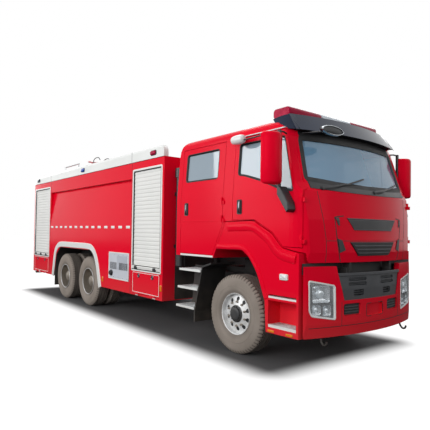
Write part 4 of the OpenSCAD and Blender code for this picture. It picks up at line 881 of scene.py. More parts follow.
def headlamps(s):
    # a tray in the bumper's opening with one large and two square cups under a clear cover
    line = dense(eased(s["line"], s["corner"]))
    tray = skinSlab(line, [(0.002, -0.060), (0.002, -0.008), (0.016, -0.008), (0.018, -0.036)], bumperFace)
    bezel = skinBand(line, [(0.0015, -0.012), (0.0015, 0.001), (0.006, 0.005), (0.020, 0.003), (0.024, -0.006),
                            (0.022, -0.020)], bumperFace)
    cups, rims, cells = [], [], []
    for y, z, w, h in s["cups"]:
        shape = roundRect(w, h, s["cupCorner"], 5) + (y, z)
        cups.append(skinSlab(shape, [(0, -0.040), (0, -0.014), (0.003, -0.010), (0.009, -0.010), (0.013, -0.016),
                                     (0.030, -0.032), (0.045, -0.036)], bumperFace))
        rims.append(skinBand(shape, [(-0.004, -0.036), (-0.004, -0.012), (0.001, -0.0085), (0.001, -0.036)],
                             bumperFace))
        cells.append(skinSlab(ring(min(w, h) * s["cell"], 20) + (y, z),
                              [(0, -0.037), (0.002, -0.020), (0.012, -0.014), (0.022, -0.012)], bumperFace))
    cover = skinSlab(line, [(0.021, -0.009), (0.021, -0.006), (0.024, -0.005)], bumperFace)
    piece("headlamp_bezels", both(bezel), lampWhite, "truck", "white_paint")
    piece("headlamp_trays", both(tray), insertPlastic, "truck", "lamp_glass", stands=("headlamps",))
    piece("headlamp_cups", both(*cups), brightReflector, "truck", "lamp_glass")
    piece("headlamp_rims", both(*rims), insertPlastic, "truck", "insert_grey")
    piece("headlamp_cells", both(*cells), lampLens, "truck", "lamp_glass")
    piece("headlamp_covers", both(cover), clearCover, "truck", "lamp_glass")


headlamps(lampSet)

# slots and recesses as y0, y1, z0, z1 on the left half
insertSet = {"slots": [(0.159, 0.507, 1.040, 1.080), (0.159, 0.507, 1.098, 1.138), (0.219, 0.415, 0.910, 0.984)],
             "slotBar": 0.004, "recess": (0.306, 0.604, 0.681, 0.816), "recessBar": 0.006,
             "seam": 0.552, "jointY": 0.642,
             "plate": [(-0.185, 0.640), (0.185, 0.640), (0.185, 0.800), (-0.185, 0.800)],
             "hook": [(1.235, 0.430), (1.262, 0.372), (1.296, 0.342), (1.330, 0.356), (1.340, 0.388)], "hookY": 0.905}


def bumperFittings(s):
    # bars in the slots before a dark back, dark fillings in the low recesses, both painted shade, a ledge over the
    # insert, dark strips of painted shade at the seams and as a border round the plate recess, a filler behind the
    # gap under the cab, two tow hooks
    bars, e = [], s["slotBar"]
    for y0, y1, z0, z1 in s["slots"]:
        for z in (z0 + 0.3 * (z1 - z0), z0 + 0.7 * (z1 - z0)):
            bars.append(skinStrip(y0 + e, y1 - e, z - e, z + e, -0.022, -0.050, bumperFace, 8))
    y0, y1, z0, z1 = s["recess"]
    e = s["recessBar"]
    for z in np.linspace(z0, z1, 5)[1:-1]:
        bars.append(skinStrip(y0 + 0.02, y1 - 0.02, z - e, z + e, -0.012, -0.026, bumperFace, 6))
    filling = skinStrip(y0, y1, z0, z1, -0.024, -0.0296, bumperFace, 6, 2)
    back = skinStrip(-0.62, 0.62, 0.880, 1.155, -0.066, -0.074, bumperFace, 16)
    ledge = skinTrapeze(0.690, 1.163, 0.698, 1.200, 0.006, -0.028, bumperFace, 20, 2)
    seamShade = [skinStrip(-1.135, 1.135, s["seam"], s["seam"] + 0.007, 0.0012, -0.004, bumperFace, 40)]
    seamShade += [skinStrip(y - 0.003, y + 0.003, 0.560, 0.850, 0.0012, -0.004, bumperFace, 1, 6)
              for y in (-s["jointY"], s["jointY"])]
    border = skinBand(eased(s["plate"], 0.030), [(0.0, -0.004), (0.0, 0.002), (-0.006, 0.002), (-0.006, -0.004)],
                      bumperFace)
    piece("insert_bars", both(*bars), insertPlastic, "truck", "insert_grey")
    piece("recess_shade_fillings", joined(both(filling), back), sealRubber, "truck", "trim_black")
    piece("insert_ledge", ledge, insertPlastic, "truck", "insert_grey", bevel=0.004)
    piece("bumper_seam_shade", joined(*seamShade, border), sealRubber, "truck", "trim_black")
    filler = skinTrapeze(1.205, 1.190, 1.205, 1.322, -0.012, -0.020, gapFace, 6, 1)
    piece("gap_filler", filler, chassisPaint, "truck", "frame_black")
    hook = smoothPath([(axleX + x, -s["hookY"], z) for x, z in s["hook"]], 5)
    piece("tow_hooks", both(tube(0.013, hook, toLeft)), chassisPaint, "truck", "frame_black")


bumperFittings(insertSet)

faceSet = {"screen": [(-1.080, 2.338), (-0.560, 2.292), (0, 2.276), (0.560, 2.292), (1.080, 2.338), (1.018, 2.895),
                      (-1.018, 2.895)],
           "seamY": 0.883, "seamTop": (0.985, 2.20), "seamFoot": 1.336, "creaseZ": 1.597, "seam": 0.003,
           # the hatch round the grille, from the middle outwards and down
           "hatch": [(-0.600, 1.906), (-0.700, 1.898), (-0.750, 1.886), (-0.716, 1.630), (-0.684, 1.450),
                     (-0.648, 1.338)], "hatchSeam": 0.006,
           "arm": [(1.2485, 1.335), (1.2485, 1.228), (1.269, 1.1865), (1.331, 1.1865), (1.3515, 1.228),
                   (1.3515, 1.335)], "armY": 0.454,
           # grille bars: heights, half of each, the mouth's half width at a height and how fast it grows
           "bars": (1.442, 1.488, 1.534), "bar": 0.009, "mouth": (0.317, 1.408, 0.88),
           "wiper": [(0.070, 2.236), (0.250, 2.262), (0.480, 2.316)], "wiperLift": (0.012, 0.040, 0.026),
           "wiperShifts": (0, -0.966)}


def screenSurround(s):
    # rubber round the windscreen, a dark cowl under it whose edges rise with y squared, a header and a visor shelf
    line = dense(eased(s["screen"], 0.055, 4))
    rubber = skinBand(line, [(0.046, -0.0155), (0.040, -0.006), (0.004, 0.003), (-0.022, 0.003), (-0.026, -0.002)],
                      cabFace)
    piece("screen_rubber", rubber, sealRubber, "cab", "trim_black")
    y = np.linspace(-1.06, 1.06, 15)
    cowl = skinPatch(np.stack([y, 2.196 + 0.034 * y ** 2], -1), np.stack([y, 2.262 + 0.050 * y ** 2], -1),
                     0.009, -0.003, cabFace, 40, 10)
    piece("cowl_panel", cowl, blackPlastic, "cab", "trim_black")
    header = skinTrapeze(1.030, 2.890, 1.010, 2.985, 0.003, -0.003, cabFace, 28, 3)
    piece("screen_header", header, sealRubber, "cab", "trim_black")
    shelf = skinStrip(-1.050, 1.050, 2.978, 2.986, 0.094, -0.004, cabFace, 28)
    piece("visor_shelf", shelf, sealRubber, "cab", "trim_black")


def cabFaceFittings(s):
    # panel joints as dark strips of painted shade, sleeves round the tilt arms, the grille's mouth darkened as
    # painted shade behind its bars, wiper arms
    k, c, e = s["seamY"], s["creaseZ"], s["seam"]
    topY, topZ = s["seamTop"]
    seamShade = [skinStrip(-k, k, c - e, c + e, 0.0012, -e, cabFace, 30)]
    for side in (-1, 1):
        foot, head = side * k, side * topY
        seamShade.append(skinStrip(foot - e, foot + e, s["seamFoot"], c, 0.0012, -e, cabFace, 1, 6))
        seamShade.append(skinPatch([(foot - e, c), (foot + e, c)], [(head - e, topZ), (head + e, topZ)],
                               0.0012, -e, cabFace, 1, 10))
    edge = np.array(s["hatch"])
    for a, b in zip(edge[:-1], edge[1:]):
        across = np.array([-(b - a)[1], (b - a)[0]]) / np.linalg.norm(b - a) * s["hatchSeam"]
        for flip in ((-1, 1), (1, 1)):
            low, high = np.array([a - across, b - across]) * flip, np.array([a + across, b + across]) * flip
            seamShade.append(skinPatch(low, high, 0.0014, -e, cabFace, 6, 1))
    piece("cab_face_joint_shade", joined(*seamShade), sealRubber, "cab", "trim_black")
    sleeve = slab(np.array(s["arm"]), [(0, -0.0205), (0, 0.0215)], (axleX, -s["armY"], 0), fromRight)
    piece("tilt_arm_sleeves", both(sleeve), chassisPaint, "cab", "frame_black")
    half, foot, grow = s["mouth"]
    bars, e = [], s["bar"]
    for z in s["bars"]:
        wide = half + (z - foot) * grow
        bars.append(skinStrip(-wide, wide, z - e, z + e, 0.022, 0.010, cabFace, 16))
    # lips along the lower and the upper edge of the grille's upper opening
    bars.append(skinTrapeze(0.432, 1.733, 0.425, 1.745, 0.013, 0.0, cabFace, 16))
    bars.append(skinTrapeze(0.540, 1.868, 0.552, 1.882, 0.013, 0.0, cabFace, 16))
    mouth = skinTrapeze(0.352, 1.420, 0.486, 1.572, 0.0145, 0.0, cabFace, 18, 3)
    piece("grille_mouth_shade", mouth, sealRubber, "cab", "trim_black")
    piece("grille_bars", joined(*bars), insertPlastic, "cab", "insert_grey", bevel=0.003)
    arms = []
    for shift in s["wiperShifts"]:
        yz = np.array(s["wiper"]) + (shift, 0)
        path = smoothPath([cabFace(at, lift) for at, lift in zip(yz, s["wiperLift"])], 4)
        arms.append(carried(roundRect(0.022, 0.012, 0.004, 2), path, ahead))
        arms.append(turnedAbout([(-0.01, 0.0), (-0.01, 0.026), (0.022, 0.024), (0.03, 0.016), (0.032, 0.0)],
                                cabFace(yz[0], 0.0), ahead, 16))
    piece("wiper_arms", joined(*arms), blackPlastic, "cab", "trim_black")


screenSurround(faceSet)
cabFaceFittings(faceSet)
print("front dressed")


# cab sides: doors, mirrors, visor, light bar and seats

def eachSide(name, shape, look, bodyStem, slotName, stands=None, **more):
    # the right-hand shape and its mirror image, each riding on the body of its side
    for hand, form in (("right", shape), ("left", mirrored(shape))):
        piece(f"{name}_{hand}", form, look, f"{bodyStem}_{hand}", slotName,
              stands=(f"{stands}_{hand}",) if stands else (), **more)


# window outlines and handle middles as (x, z)
doorSet = {
    "front_door": {"window": [(0.080, 2.470), (0.200, 2.455), (0.560, 2.350), (0.900, 2.215), (1.090, 2.190),
                              (0.898, 2.905), (0.080, 2.905)], "handle": (0.139, 2.031)},
    "crew_door": {"window": [(-1.155, 2.465), (-0.360, 2.465), (-0.360, 2.905), (-1.155, 2.905)],
                  "handle": (-1.101, 2.034)},
    "cup": (0.100, 0.205, 0.026, 5), "gripX": 0.008,
    "grip": [(-0.082, 0.002), (-0.070, 0.018), (0, 0.026), (0.070, 0.018), (0.082, 0.002)],  # z from the middle, out
    "creaseX": (-1.244, -0.226), "creaseZ": (1.837, 1.859),
}


def doorFittings(s):
    # rubber round each window, a divider in the front one, handles in dark cups, a pressed crease
    for door in ("front_door", "crew_door"):
        line = eased(s[door]["window"], 0.045, 4)
        rubber = skinBand(line, [(0.022, -0.0215), (0.018, -0.010), (0.003, 0.002), (-0.005, 0.002),
                                 (-0.007, -0.002)], cabSide)
        eachSide(door + "_rubber", rubber, sealRubber, door, "trim_black")
        x, z = s[door]["handle"]
        edge = roundRect(*s["cup"]) + (x, z)
        cup = skinBand(edge, [(0.014, -0.003), (0.012, 0.006), (0.002, 0.007), (0, -0.003)], cabSide)
        floor = skinSlab(edge, [(0.010, -0.003), (0.010, 0.0012)], cabSide)
        eachSide(door + "_handle_cup", joined(cup, floor), blackPlastic, door, "trim_black")
        grip = smoothPath([cabSide((x + s["gripX"], z + dz), out) for dz, out in s["grip"]], 6)
        # the handle takes the darkened chrome: painted shade for the dark cup it mirrors
        eachSide(door + "_handle", carried(roundRect(0.030, 0.012, 0.005, 3), grip, toRight), shadedChrome, door,
                 "lamp_glass")
    bar = skinPatch([(0.792, 2.262), (0.806, 2.258)], [(0.770, 2.902), (0.784, 2.902)], -0.018, -0.036, cabSide, 1, 6)
    eachSide("window_divider", bar, blackPlastic, "front_door", "trim_black")
    fold = skinStrip(*s["creaseX"], *s["creaseZ"], 0.0045, -0.001, cabSide, 8, 2)
    eachSide("crew_door_crease", fold, redEnamel, "crew_door", "red_paint", bevel=0.004)


doorFittings(doorSet)

sillSet = {"sill": (-1.236, -0.424, 1.306, 1.336), "rail": [(0.100, 3.004), (0.560, 3.006), (0.905, 3.008)]}


def cabTrim(s):
    # a white strip under the crew door, a pale drip rail over the front door
    strip = skinStrip(*s["sill"], 0.010, -0.004, cabSide, 6, 2)
    piece("sill_strips", both(strip), whiteEnamel, "cab", "white_paint", bevel=0.004)
    rail = carried(roundRect(0.016, 0.016, 0.005, 3), smoothPath(cabSide(s["rail"], 0.006), 5))
    piece("drip_rails", both(rail), ladderZinc, "cab", "ladder_steel")


cabTrim(sillSet)

mirrorSet = {"x": 0.930, "y": 1.490, "r": 0.150, "z": (2.262, 2.885),
             # how far the housing draws in, and at what distance from its end
             "ends": [(0.040, 0.0), (0.022, 0.004), (0.008, 0.016), (0, 0.040)],
             "wedge": [(0.930, 2.150), (1.086, 1.926), (1.124, 1.962), (1.108, 2.052), (0.985, 2.250),
                       (0.930, 2.250)], "wedgeY": 1.1745, "spine": (0.952, 1.342),
             "bar": [(0.915, -1.176, 2.922), (0.940, -1.250, 2.930), (0.952, -1.345, 2.926)],
             "kerb": [(-0.118, 0.0), (-0.116, 0.030), (-0.096, 0.054), (-0.050, 0.062), (0.050, 0.062),
                      (0.096, 0.054), (0.116, 0.030), (0.118, 0.0)], "kerbAt": (0.160, -1.300, 2.945),
             "stalk": [(0.260, -1.300, 2.925), (0.600, -1.318, 2.928), (0.950, -1.340, 2.926)]}


def fromAxle(points):
    # places that count from the front axle, in the row frame
    return np.asarray(points, float) + (axleX, 0, 0)


def doorMirrors(s):
    # half-round housings: a half disc carried upwards, drawn in at both ends; dark arms; a plate of mirror glass
    a = np.linspace(-np.pi / 2, np.pi / 2, 17)
    half = s["r"] * np.stack([np.cos(a), np.sin(a)], -1)
    x, y, (z0, z1) = axleX + s["x"], -s["y"], s["z"]
    levels = [(e, z0 + d) for e, d in s["ends"]] + [(e, z1 - d) for e, d in s["ends"][::-1]]
    eachSide("mirror_housing", slab(half, levels, (x, y, 0), fromAbove), redEnamel, "front_door", "red_paint",
             stands="door_mirror")
    pane = plate(0.250, z1 - z0 - 0.070, 0.03, [(0, -0.002), (0, 0.004), (0.003, 0.006)],
                 (x - 0.001, y, (z0 + z1) / 2), fromBehind, 4)
    eachSide("mirror_glass", pane, brightReflector, "front_door", "lamp_glass")
    arm = slab(eased(s["wedge"], 0.012, 3), [(0.006, 0.060), (0, 0.066), (0, 0.180), (0.010, 0.190)],
               (axleX, -s["wedgeY"], 0), fromRight)
    spineX, spineY = s["spine"]
    spine = plate(0.034, 0.044, 0.008, [(0, 2.200), (0, 2.938)], (axleX + spineX, -spineY, 0), fromAbove)
    eachSide("mirror_arms", joined(arm, spine, tube(0.011, fromAxle(s["bar"]))), blackPlastic, "front_door",
             "trim_black")
    kerb = turnedAbout(s["kerb"], fromAxle(s["kerbAt"]), ahead, 24)
    piece("kerb_mirror", kerb, whiteEnamel, "front_door_right", "white_paint")
    piece("kerb_mirror_stalk", tube(0.010, fromAxle(s["stalk"])), blackPlastic, "front_door_right", "trim_black")


doorMirrors(mirrorSet)

ovalSet = {"at": (1.280, -0.800, 2.945), "size": (0.420, 0.120), "points": 36,
           "body": [(0.014, 0.0), (0.006, 0.004), (0, 0.016), (0, 0.034), (0.005, 0.046), (0.014, 0.052)],
           "rim": [(0.012, 0.048), (0.008, 0.050), (-0.001, 0.038), (0.002, 0.055), (0.008, 0.059), (0.013, 0.056)],
           "stem": [(0.945, -0.955, 2.955), (1.120, -0.880, 2.950), (1.285, -0.800, 2.950)]}


def frontMirror(s):
    # an oval mirror head with a bright rim, on a stem from the cab's corner
    egg, at = ring(0.5, s["points"]) * s["size"], fromAxle(s["at"])
    piece("front_mirror", slab(egg, s["body"], at, fromFront), blackPlastic, "cab", "trim_black",
          stands=("front_mirrors",))
    hoop = np.concatenate([at + inset(egg, shrink) @ np.array(fromFront) + (out, 0, 0) for shrink, out in s["rim"]])
    hoopFaces = gridFaces(len(s["rim"]), s["points"], wrapRows=True, wrapCols=True)
    piece("front_mirror_rim", (hoop, hoopFaces), chromePlate, "cab", "lamp_glass")
    piece("front_mirror_stem", tube(0.012, smoothPath(fromAxle(s["stem"]), 5)), blackPlastic, "cab", "trim_black")


frontMirror(ovalSet)

barSet = {"x": 0.660, "z": (3.165, 3.335), "deep": 0.290, "half": 1.000, "clear": 0.34, "gap": 0.004, "base": 0.034,
          "ends": [(0.012, 0.0), (0.002, 0.008), (0, 0.02)], "roof": 3.139, "feetY": (-0.66, 0.66), "feetBack": 0.06}


def lightBar(s):
    # tinted lenses on a dark base with two feet; a lens is its section carried across, drawn in a little at both ends
    x, (z0, z1), k, c = axleX + s["x"], s["z"], s["half"], s["clear"]
    section = roundRect(s["deep"], z1 - z0 - s["base"], 0.050, 6)

    def lens(y0, y1):
        levels = [(e, d - y1) for e, d in s["ends"]] + [(e, -y0 - d) for e, d in s["ends"][::-1]]
        return slab(section, levels, (x, 0, (z0 + s["base"] + z1) / 2), fromRight)
    piece("bar_red_lenses", joined(lens(-k, -c), lens(c, k)), redLens, "cab", "marker_lens", stands=("light_bar",))
    piece("bar_clear_lens", lens(s["gap"] - c, c - s["gap"]), iceLens, "cab", "marker_lens")
    base = plate(s["deep"] - 0.02, 0.036, 0.008, [(0, 0.02 - k), (0, k - 0.02)], (x, 0, z0 + 0.018), fromRight)
    feet = [plate(0.120, 0.090, 0.015, [(0, 0), (0, z0 - s["roof"] + 0.004)], (x - s["feetBack"], y, s["roof"]),
                  fromAbove) for y in s["feetY"]]
    piece("bar_base", joined(base, *feet), blackPlastic, "cab", "trim_black")


lightBar(barSet)

visorSet = {"z": (2.978, 3.202), "middleX": (1.175, 1.010), "endY": 1.069, "capY": 1.0625, "wingY": -1.066,
            "back": [(0.760, -1.168, 3.020), (0.640, -1.130, 3.160)], "bulge": 0.020, "thick": 0.012}


def visorEnds(s):
    # caps on the visor's ends, and wings that carry it round the corner: straight lines from its end to the cab's
    # side, bowed out by a sine
    z0, z1 = s["z"]
    low, high = bowX + np.sqrt((np.array(s["middleX"]) - bowX) ** 2 - s["endY"] ** 2)
    cap = [(low - 0.052, z0 + 0.006), (low + 0.012, z0), (high + 0.012, z1), (high - 0.030, z1)]
    caps = slab(eased(cap, 0.006, 3), [(0, 0.0), (0, 0.006), (0.006, 0.010)], (axleX, -s["capY"], 0), fromRight)
    piece("visor_caps", both(caps), smokedAcrylic, "cab", "smoked_visor")
    front = np.array([(low + 0.004, s["wingY"], z0 - 0.002), (high + 0.004, s["wingY"], z1 + 0.002)])
    back = np.array(s["back"])
    u, v = np.linspace(0, 1, 11)[None, :, None], np.linspace(0, 1, 6)[:, None, None]
    sheet = (front[0] * (1 - v) + front[1] * v) * (1 - u) + (back[0] * (1 - v) + back[1] * v) * u
    sheet = fromAxle(sheet + np.array([0, -s["bulge"], 0]) * np.sin(np.pi * u))
    wing = closedSheet(np.concatenate([sheet, sheet[::-1] + (0, s["thick"], 0)]))
    piece("visor_wings", both(wing), smokedAcrylic, "cab", "smoked_visor", sharp=60)


visorEnds(visorSet)

seatSet = {"round": (0.42, 0.36), "fill": 0.8,
           # middle, half sizes, thickness axis, crown: cushion, back and headrest in front, then the same behind
           "pads": [((0.262, 0.630, 2.012), (0.250, 0.250, 0.086), 2, 0.014),
                    ((-0.046, 0.630, 2.280), (0.056, 0.245, 0.280), 0, 0.012),
                    ((-0.046, 0.630, 2.630), (0.046, 0.140, 0.066), 0, 0.006),
                    ((-0.868, 0.667, 1.752), (0.245, 0.322, 0.062), 2, 0.012),
                    ((-1.172, 0.667, 2.080), (0.056, 0.318, 0.300), 0, 0.012),
                    ((-1.172, 0.667, 2.450), (0.046, 0.150, 0.066), 0, 0.006)],
           # frames: width, depth, corner, place (x, y), from and to height; the first two stand on both sides
           "frames": [(0.380, 0.220, 0.02, (0.260, -0.510), (1.486, 1.934)),
                      (0.060, 0.300, 0.01, (0.010, -0.630), (1.950, 2.040)),
                      (0.460, 1.960, 0.02, (-0.870, 0), (1.371, 1.698)),
                      (0.030, 1.960, 0.01, (-1.222, 0), (1.600, 2.480))]}


def cushion(middle, half, axis, crown, e, count=40, rows=18):
    # a rounded pad: signed powers of sine and cosine square off a ball, and both broad faces rise by the crown
    # towards their middle, as (1 - a squared)(1 - b squared)
    v = np.linspace(-np.pi / 2, np.pi / 2, rows + 2)[1:-1, None]
    u = (np.arange(count) * 2 * np.pi / count)[None, :]

    def power(w, k):
        return np.sign(w) * np.abs(w) ** k
    a, b = power(np.cos(v), e[0]) * power(np.cos(u), e[1]), power(np.cos(v), e[0]) * power(np.sin(u), e[1])
    c = np.broadcast_to(power(np.sin(v), e[0]), a.shape)
    ball = np.concatenate([np.stack([a, b, c], -1).reshape(-1, 3), [[0, 0, -1], [0, 0, 1]]])
    order = [0, 1, 2] if axis == 2 else [1, 2, 0]
    form = ball * np.asarray(half)[order]
    form[:, 2] += np.sign(ball[:, 2]) * crown * (1 - ball[:, 0] ** 2) * (1 - ball[:, 1] ** 2)
    points = np.empty_like(form)
    points[:, order] = form
    last = rows * count
    ends = [[last, (i + 1) % count, i] for i in range(count)]
    ends += [[last + 1, last - count + i, last - count + (i + 1) % count] for i in range(count)]
    return fromAxle(points + np.asarray(middle)), gridFaces(rows, count, wrapCols=True) + ends


def cabSeats(s):
    # padded seats on both sides with a third one in the middle of the rear bench, on plain dark frames
    pads = [both(cushion(*pad, s["round"])) for pad in s["pads"]]
    pads += [cushion((m[0], 0, m[2]), half, axis, crown, s["round"]) for m, half, axis, crown in s["pads"][3:]]
    pads = piece("seat_pads", joined(*pads), seatCloth, "cab", "seat_cloth", stands=("cab_seats",), sharp=70)
    frames = [plate(w, d, r, [(0, z0), (0, z1)], fromAxle((x, y, 0)), fromAbove)
              for w, d, r, (x, y), (z0, z1) in s["frames"]]
    piece("seat_frames", joined(both(*frames[:2]), *frames[2:]), blackPlastic, "cab", "trim_black")


cabSeats(seatSet)
print("cab dressed")

sideSet = {"arch": [(0.668, 0.850), (0.530, 1.168), (0.366, 1.380), (0.215, 1.474), (-0.060, 1.476), (-0.318, 1.474)],
           "archRoll": (0.036, 0.020),
           "crown": [(-0.080, 1.758), (0.160, 1.763), (0.400, 1.760), (0.552, 1.692), (0.704, 1.600), (0.890, 1.430),
                     (1.150, 1.372)], "crownRoll": (0.066, 0.026),
           "lamp": (0.968, 1.146), "amberX": (0.760, 1.060), "amberZ": 0.456,
           # treads: middle, length, height, y of the first and the last bar, count
           "treads": [(-1.015, 0.490, 1.100, -0.940, -1.195, 5), (-1.070, 0.460, 0.814, -0.940, -1.195, 5),
                      (-1.130, 0.420, 0.512, -0.940, -1.195, 5), (0.932, 0.400, 0.534, -1.070, -1.220, 4)]}


def fenderFittings(s):
    # half-round rolls along the arch and the upper edge, side lamps, amber reflectors, tread bars on the steps
    def roll(points, wide, high):
        a = np.linspace(0, np.pi, 9)
        bulge = np.stack([wide * np.cos(a), high * np.sin(a) - 0.003], -1)
        path = np.array([(axleX + x, -wallY, z) for x, z in points])
        return carried(bulge, smoothPath(path, 6), toRight)
    rolls = both(roll(s["arch"], *s["archRoll"]), roll(s["crown"], *s["crownRoll"]))
    piece("fender_rolls", rolls, redEnamel, "truck", "red_paint", sharp=60)
    lamp = onWall(roundRect(0.130, 0.078, 0.014, 4), s["lamp"],
                  [(0, -0.002), (0, 0.012), (0.006, 0.020), (0.02, 0.023)])
    piece("fender_lamps", both(lamp), lampWhite, "truck", "lamp_glass")
    amber = [onWall(roundRect(0.110, 0.030, 0.008, 3), (x, s["amberZ"]), [(0, -0.002), (0, 0.006), (0.004, 0.010)])
             for x in s["amberX"]]
    piece("step_reflectors", both(*amber), amberLens, "truck", "marker_lens")
    bars = [plate(length, 0.018, 0.006, [(0, -0.002), (0, 0.004), (0.003, 0.006)], (axleX + x, y, z), fromAbove)
            for x, length, z, y0, y1, count in s["treads"] for y in np.linspace(y0, y1, count)]
    piece("tread_bars", both(*bars), ladderZinc, "truck", "ladder_steel")


fenderFittings(sideSet)
print("fenders and steps dressed")


# roof and rear

parapetY, rearX = 1.262, -8.651

lampRowSet = {"markers": [(-1.797, 0.708), (-4.052, 0.664)], "parapetZ": 3.063,
              "parapet": [(-2.092, "red", redLens), (-5.178, "blue", blueLens), (-8.288, "dark", smokedAcrylic)],
              "tail": (1.130, 0.770, 0.130, 0.250),
              "tailParts": [(1, "red", redLens), (0, "amber", amberLens), (-1, "clear", iceLens)]}


def sideLamps(s):
    # small lenses with eased edges: amber markers, a red, a blue and a dark lamp on each parapet, and tail lamps in
    # three parts
    amber = [onWall(roundRect(0.050, 0.105, 0.012, 4), p, [(0, -0.002), (0, 0.010), (0.005, 0.016)])
             for p in s["markers"]]
    piece("side_markers", both(*amber), amberLens, "truck", "marker_lens", stands=("marker_lamps",))
    for x, tone, tint in s["parapet"]:
        at = (x, s["parapetZ"])
        lens = onWall(roundRect(0.172, 0.072, 0.030, 5), at,
                      [(0.004, -0.002), (0, 0.006), (0, 0.018), (0.010, 0.030), (0.022, 0.033)], parapetY)
        foot = onWall(roundRect(0.196, 0.094, 0.036, 5), at, [(0, -0.001), (0, 0.006), (0.004, 0.009)], parapetY)
        piece(f"parapet_lamps_{tone}", both(lens), tint, "truck", "marker_lens")
        piece(f"parapet_feet_{tone}", both(foot), blackPlastic, "truck", "trim_black")
    y, z, w, h = s["tail"]
    for part, tone, tint in s["tailParts"]:
        lens = plate(w - 0.012, h / 3 - 0.008, 0.016, [(0, 0.004), (0, 0.022), (0.006, 0.030)],
                     fromAxle((rearX, -y, z + part * h / 3)), fromBehind, 4)
        piece(f"tail_lamps_{tone}", both(lens), tint, "truck", "marker_lens")
    case = plate(w, h, 0.022, [(0, -0.001), (0, 0.010), (0.004, 0.014)], fromAxle((rearX, -y, z)), fromBehind, 4)
    piece("tail_lamp_cases", both(case), blackPlastic, "truck", "trim_black")


sideLamps(lampRowSet)

deckSet = {"z": 2.973, "lidX": (-3.55, -4.90, -6.20), "lid": (0.78, 0.70, 0.055),
           "gripX": -0.3, "grip": [(-0.08, -0.004), (-0.07, 0.035), (0.07, 0.035), (0.08, -0.004)],  # y, over the lid
           "hingeY": 0.22, "hingeHalf": 0.05, "hingeZ": 0.028,
           "ribs": (-8.40, -1.95, 0.15), "ribY": -0.92, "jointX": (-2.870, -7.300), "jointZ": 3.074}


def roofDeck(s):
    # hinged hatch lids with a grip, ribbed walkway plates along both sides, dark strips of painted shade at the
    # joints in the parapets
    z, (w, d, h) = s["z"], s["lid"]
    lids, grips = [], []
    for x in s["lidX"]:
        lids.append(plate(w, d, 0.05, [(0, -0.001), (0, h - 0.012), (0.006, h - 0.003), (0.016, h)],
                          (axleX + x, 0, z), fromAbove, 5))
        grip = smoothPath([(axleX + x + s["gripX"], y, z + h + over) for y, over in s["grip"]], 5)
        grips.append(tube(0.008, grip, ahead, 8))
        for y in (-s["hingeY"], s["hingeY"]):
            grips.append(tube(0.014, [(axleX + x + w / 2 + 0.004, y + end, z + s["hingeZ"])
                                      for end in (-s["hingeHalf"], s["hingeHalf"])]))
    ribs = [plate(0.030, 0.42, 0.010, [(0, -0.001), (0, 0.003), (0.004, 0.006)], (axleX + x, s["ribY"], z), fromAbove)
            for x in np.arange(*s["ribs"])]
    piece("hatch_lids", joined(*lids), whiteEnamel, "truck", "white_paint")
    piece("hatch_grips", joined(*grips), ladderZinc, "truck", "ladder_steel")
    piece("walkway_ribs", both(*ribs), ladderZinc, "truck", "ladder_steel")
    jointShade = [onWall(roundRect(0.006, 0.195, 0.002, 2), (x, s["jointZ"]), [(0, -0.001), (0, 0.0012)], parapetY)
              for x in s["jointX"]]
    piece("parapet_joint_shade", both(*jointShade), sealRubber, "truck", "trim_black")


roofDeck(deckSet)

# paths count from the pivot of the barrel, profiles are (distance, radius)
cannonSet = {"pivot": (-7.000, 0, 3.520), "deck": 2.973, "bolts": 8, "boltRing": 0.155,
             "bolt": [(0.024, 0.0), (0.024, 0.014), (0.038, 0.014), (0.040, 0.0)],
             "collars": [(0.150, 0.058), (0.300, 0.055), (0.440, 0.055)], "barrel": 0.046,
             "lip": [(0.586, 0.079), (0.592, 0.084), (0.614, 0.084), (0.621, 0.078), (0.621, 0.052), (0.600, 0.044)],
             "handle": [(-0.020, -0.128, -0.095), (-0.090, -0.140, -0.040), (-0.200, -0.150, 0.060),
                        (-0.380, -0.145, 0.115), (-0.520, -0.110, 0.125), (-0.560, 0.0, 0.125)],
             "guard": [(-0.100, -0.142, -0.030), (-0.080, -0.150, 0.110), (0.060, -0.150, 0.165),
                       (0.240, -0.150, 0.150), (0.330, -0.150, 0.080)],
             "cap": [(0.092, 0.0), (0.092, 0.040), (0.100, 0.040), (0.106, 0.030), (0.107, 0.0)]}


def cannonFittings(s):
    # bolts round the foot, collars and a lip along the barrel, handles and guards on the swivel, caps on the pivot
    pivot, r = fromAxle(s["pivot"]), s["barrel"]
    nuts = [turnedAbout(s["bolt"], (pivot[0] + x, y, s["deck"]), upward, 6)
            for x, y in ring(s["boltRing"], s["bolts"])]
    piece("cannon_foot_bolts", joined(*nuts), ladderZinc, "truck", "ladder_steel")
    for node in ("monitor_base", "monitor_swivel", "monitor_barrel"):
        nodes[node].data.materials[0] = cannonRed
    collars = [turnedAbout([(d - 0.016, r), (d - 0.012, big), (d + 0.012, big), (d + 0.016, r)], pivot, ahead, 28)
               for d, big in s["collars"]]
    lip = turnedAbout(s["lip"], pivot, ahead, 32)
    piece("cannon_collars", joined(*collars, lip), blackPlastic, "monitor_barrel", "trim_black")
    rail = tube(0.018, smoothPath(pivot + np.array(s["handle"]), 6))
    piece("cannon_handles", both(rail), cannonRed, "monitor_swivel", "red_paint", sharp=60)
    guard = tube(0.011, smoothPath(pivot + np.array(s["guard"]), 6), toRight)
    piece("cannon_guards", both(guard), blackPlastic, "monitor_swivel", "trim_black", sharp=60)
    piece("cannon_pivot_caps", both(turnedAbout(s["cap"], pivot, toRight, 24)), ladderZinc, "monitor_barrel",
          "ladder_steel")


cannonFittings(cannonSet)

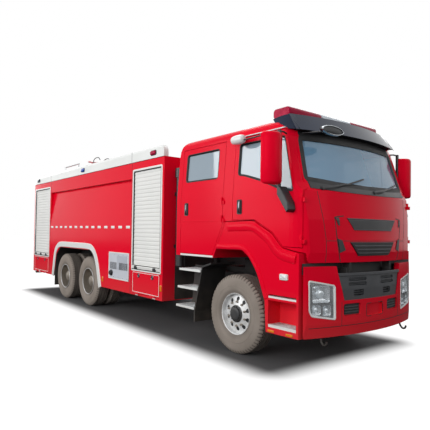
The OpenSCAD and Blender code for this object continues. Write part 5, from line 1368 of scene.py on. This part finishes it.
rearSet = {"open": (1.240, 1.080, 2.720), "frame": 0.036, "proud": 0.008, "barUp": 0.036,  # width, z0, z1
           "ladderY": (0.620, 1.020), "ladderX": -8.731,
           "hook": [(0, 3.320), (0.010, 3.390), (0.080, 3.440), (0.170, 3.430), (0.235, 3.360), (0.245, 2.972)],
           "marks": [(-1.13, 0.560), (1.13, 0.560)]}


def rearFittings(s):
    # a white frame round the rear shutter, its bottom bar and grip, hooks over the ladder's top, red reflectors
    (wide, z0, z1), f, wall = s["open"], s["frame"], axleX + rearX
    line = roundRect(wide + f, z1 - z0 + f, 0.02, 4)
    path = np.stack([np.full(len(line), wall), line[:, 0], (z0 + z1) / 2 + line[:, 1]], -1)
    border = carried(stripProfile(f / 2, s["proud"], 0.003), path, rearward, closedPath=True)
    piece("rear_shutter_frame", border, whiteEnamel, "truck", "white_paint")
    at = (wall, 0, z0 + s["barUp"])
    bar = plate(wide - 0.03, 0.056, 0.008, [(0, -0.006), (0, 0.012), (0.006, 0.018)], at, fromBehind)
    piece("rear_bottom_bar", bar, shutterAlloy, "truck", "shutter_alloy")
    grip = plate(0.22, 0.026, 0.010, [(0, 0.012), (0, 0.030), (0.005, 0.036)], at, fromBehind, 4)
    piece("rear_shutter_grip", grip, blackPlastic, "truck", "trim_black")
    hooks = [tube(0.0195, smoothPath(fromAxle([(s["ladderX"] + x, y, z) for x, z in s["hook"]]), 6), toLeft, 12)
             for y in s["ladderY"]]
    piece("ladder_hooks", joined(*hooks), ladderZinc, "truck", "ladder_steel")
    marks = [plate(0.10, 0.05, 0.008, [(0, -0.001), (0, 0.006), (0.004, 0.009)], (wall, y, z), fromBehind)
             for y, z in s["marks"]]
    piece("rear_reflectors", joined(*marks), redLens, "truck", "marker_lens")


rearFittings(rearSet)

# a black plate on the body's front wall, behind the frame and the steps
blackWallSet = {"size": (2.000, 0.830), "at": (-1.752, 0, 0.925)}
screen = plate(*blackWallSet["size"], 0.02, [(0, -0.001), (0, 0.004)], fromAxle(blackWallSet["at"]), fromFront)
piece("front_wall_black_plate", screen, chassisPaint, "truck", "frame_black")
print("roof and rear dressed")
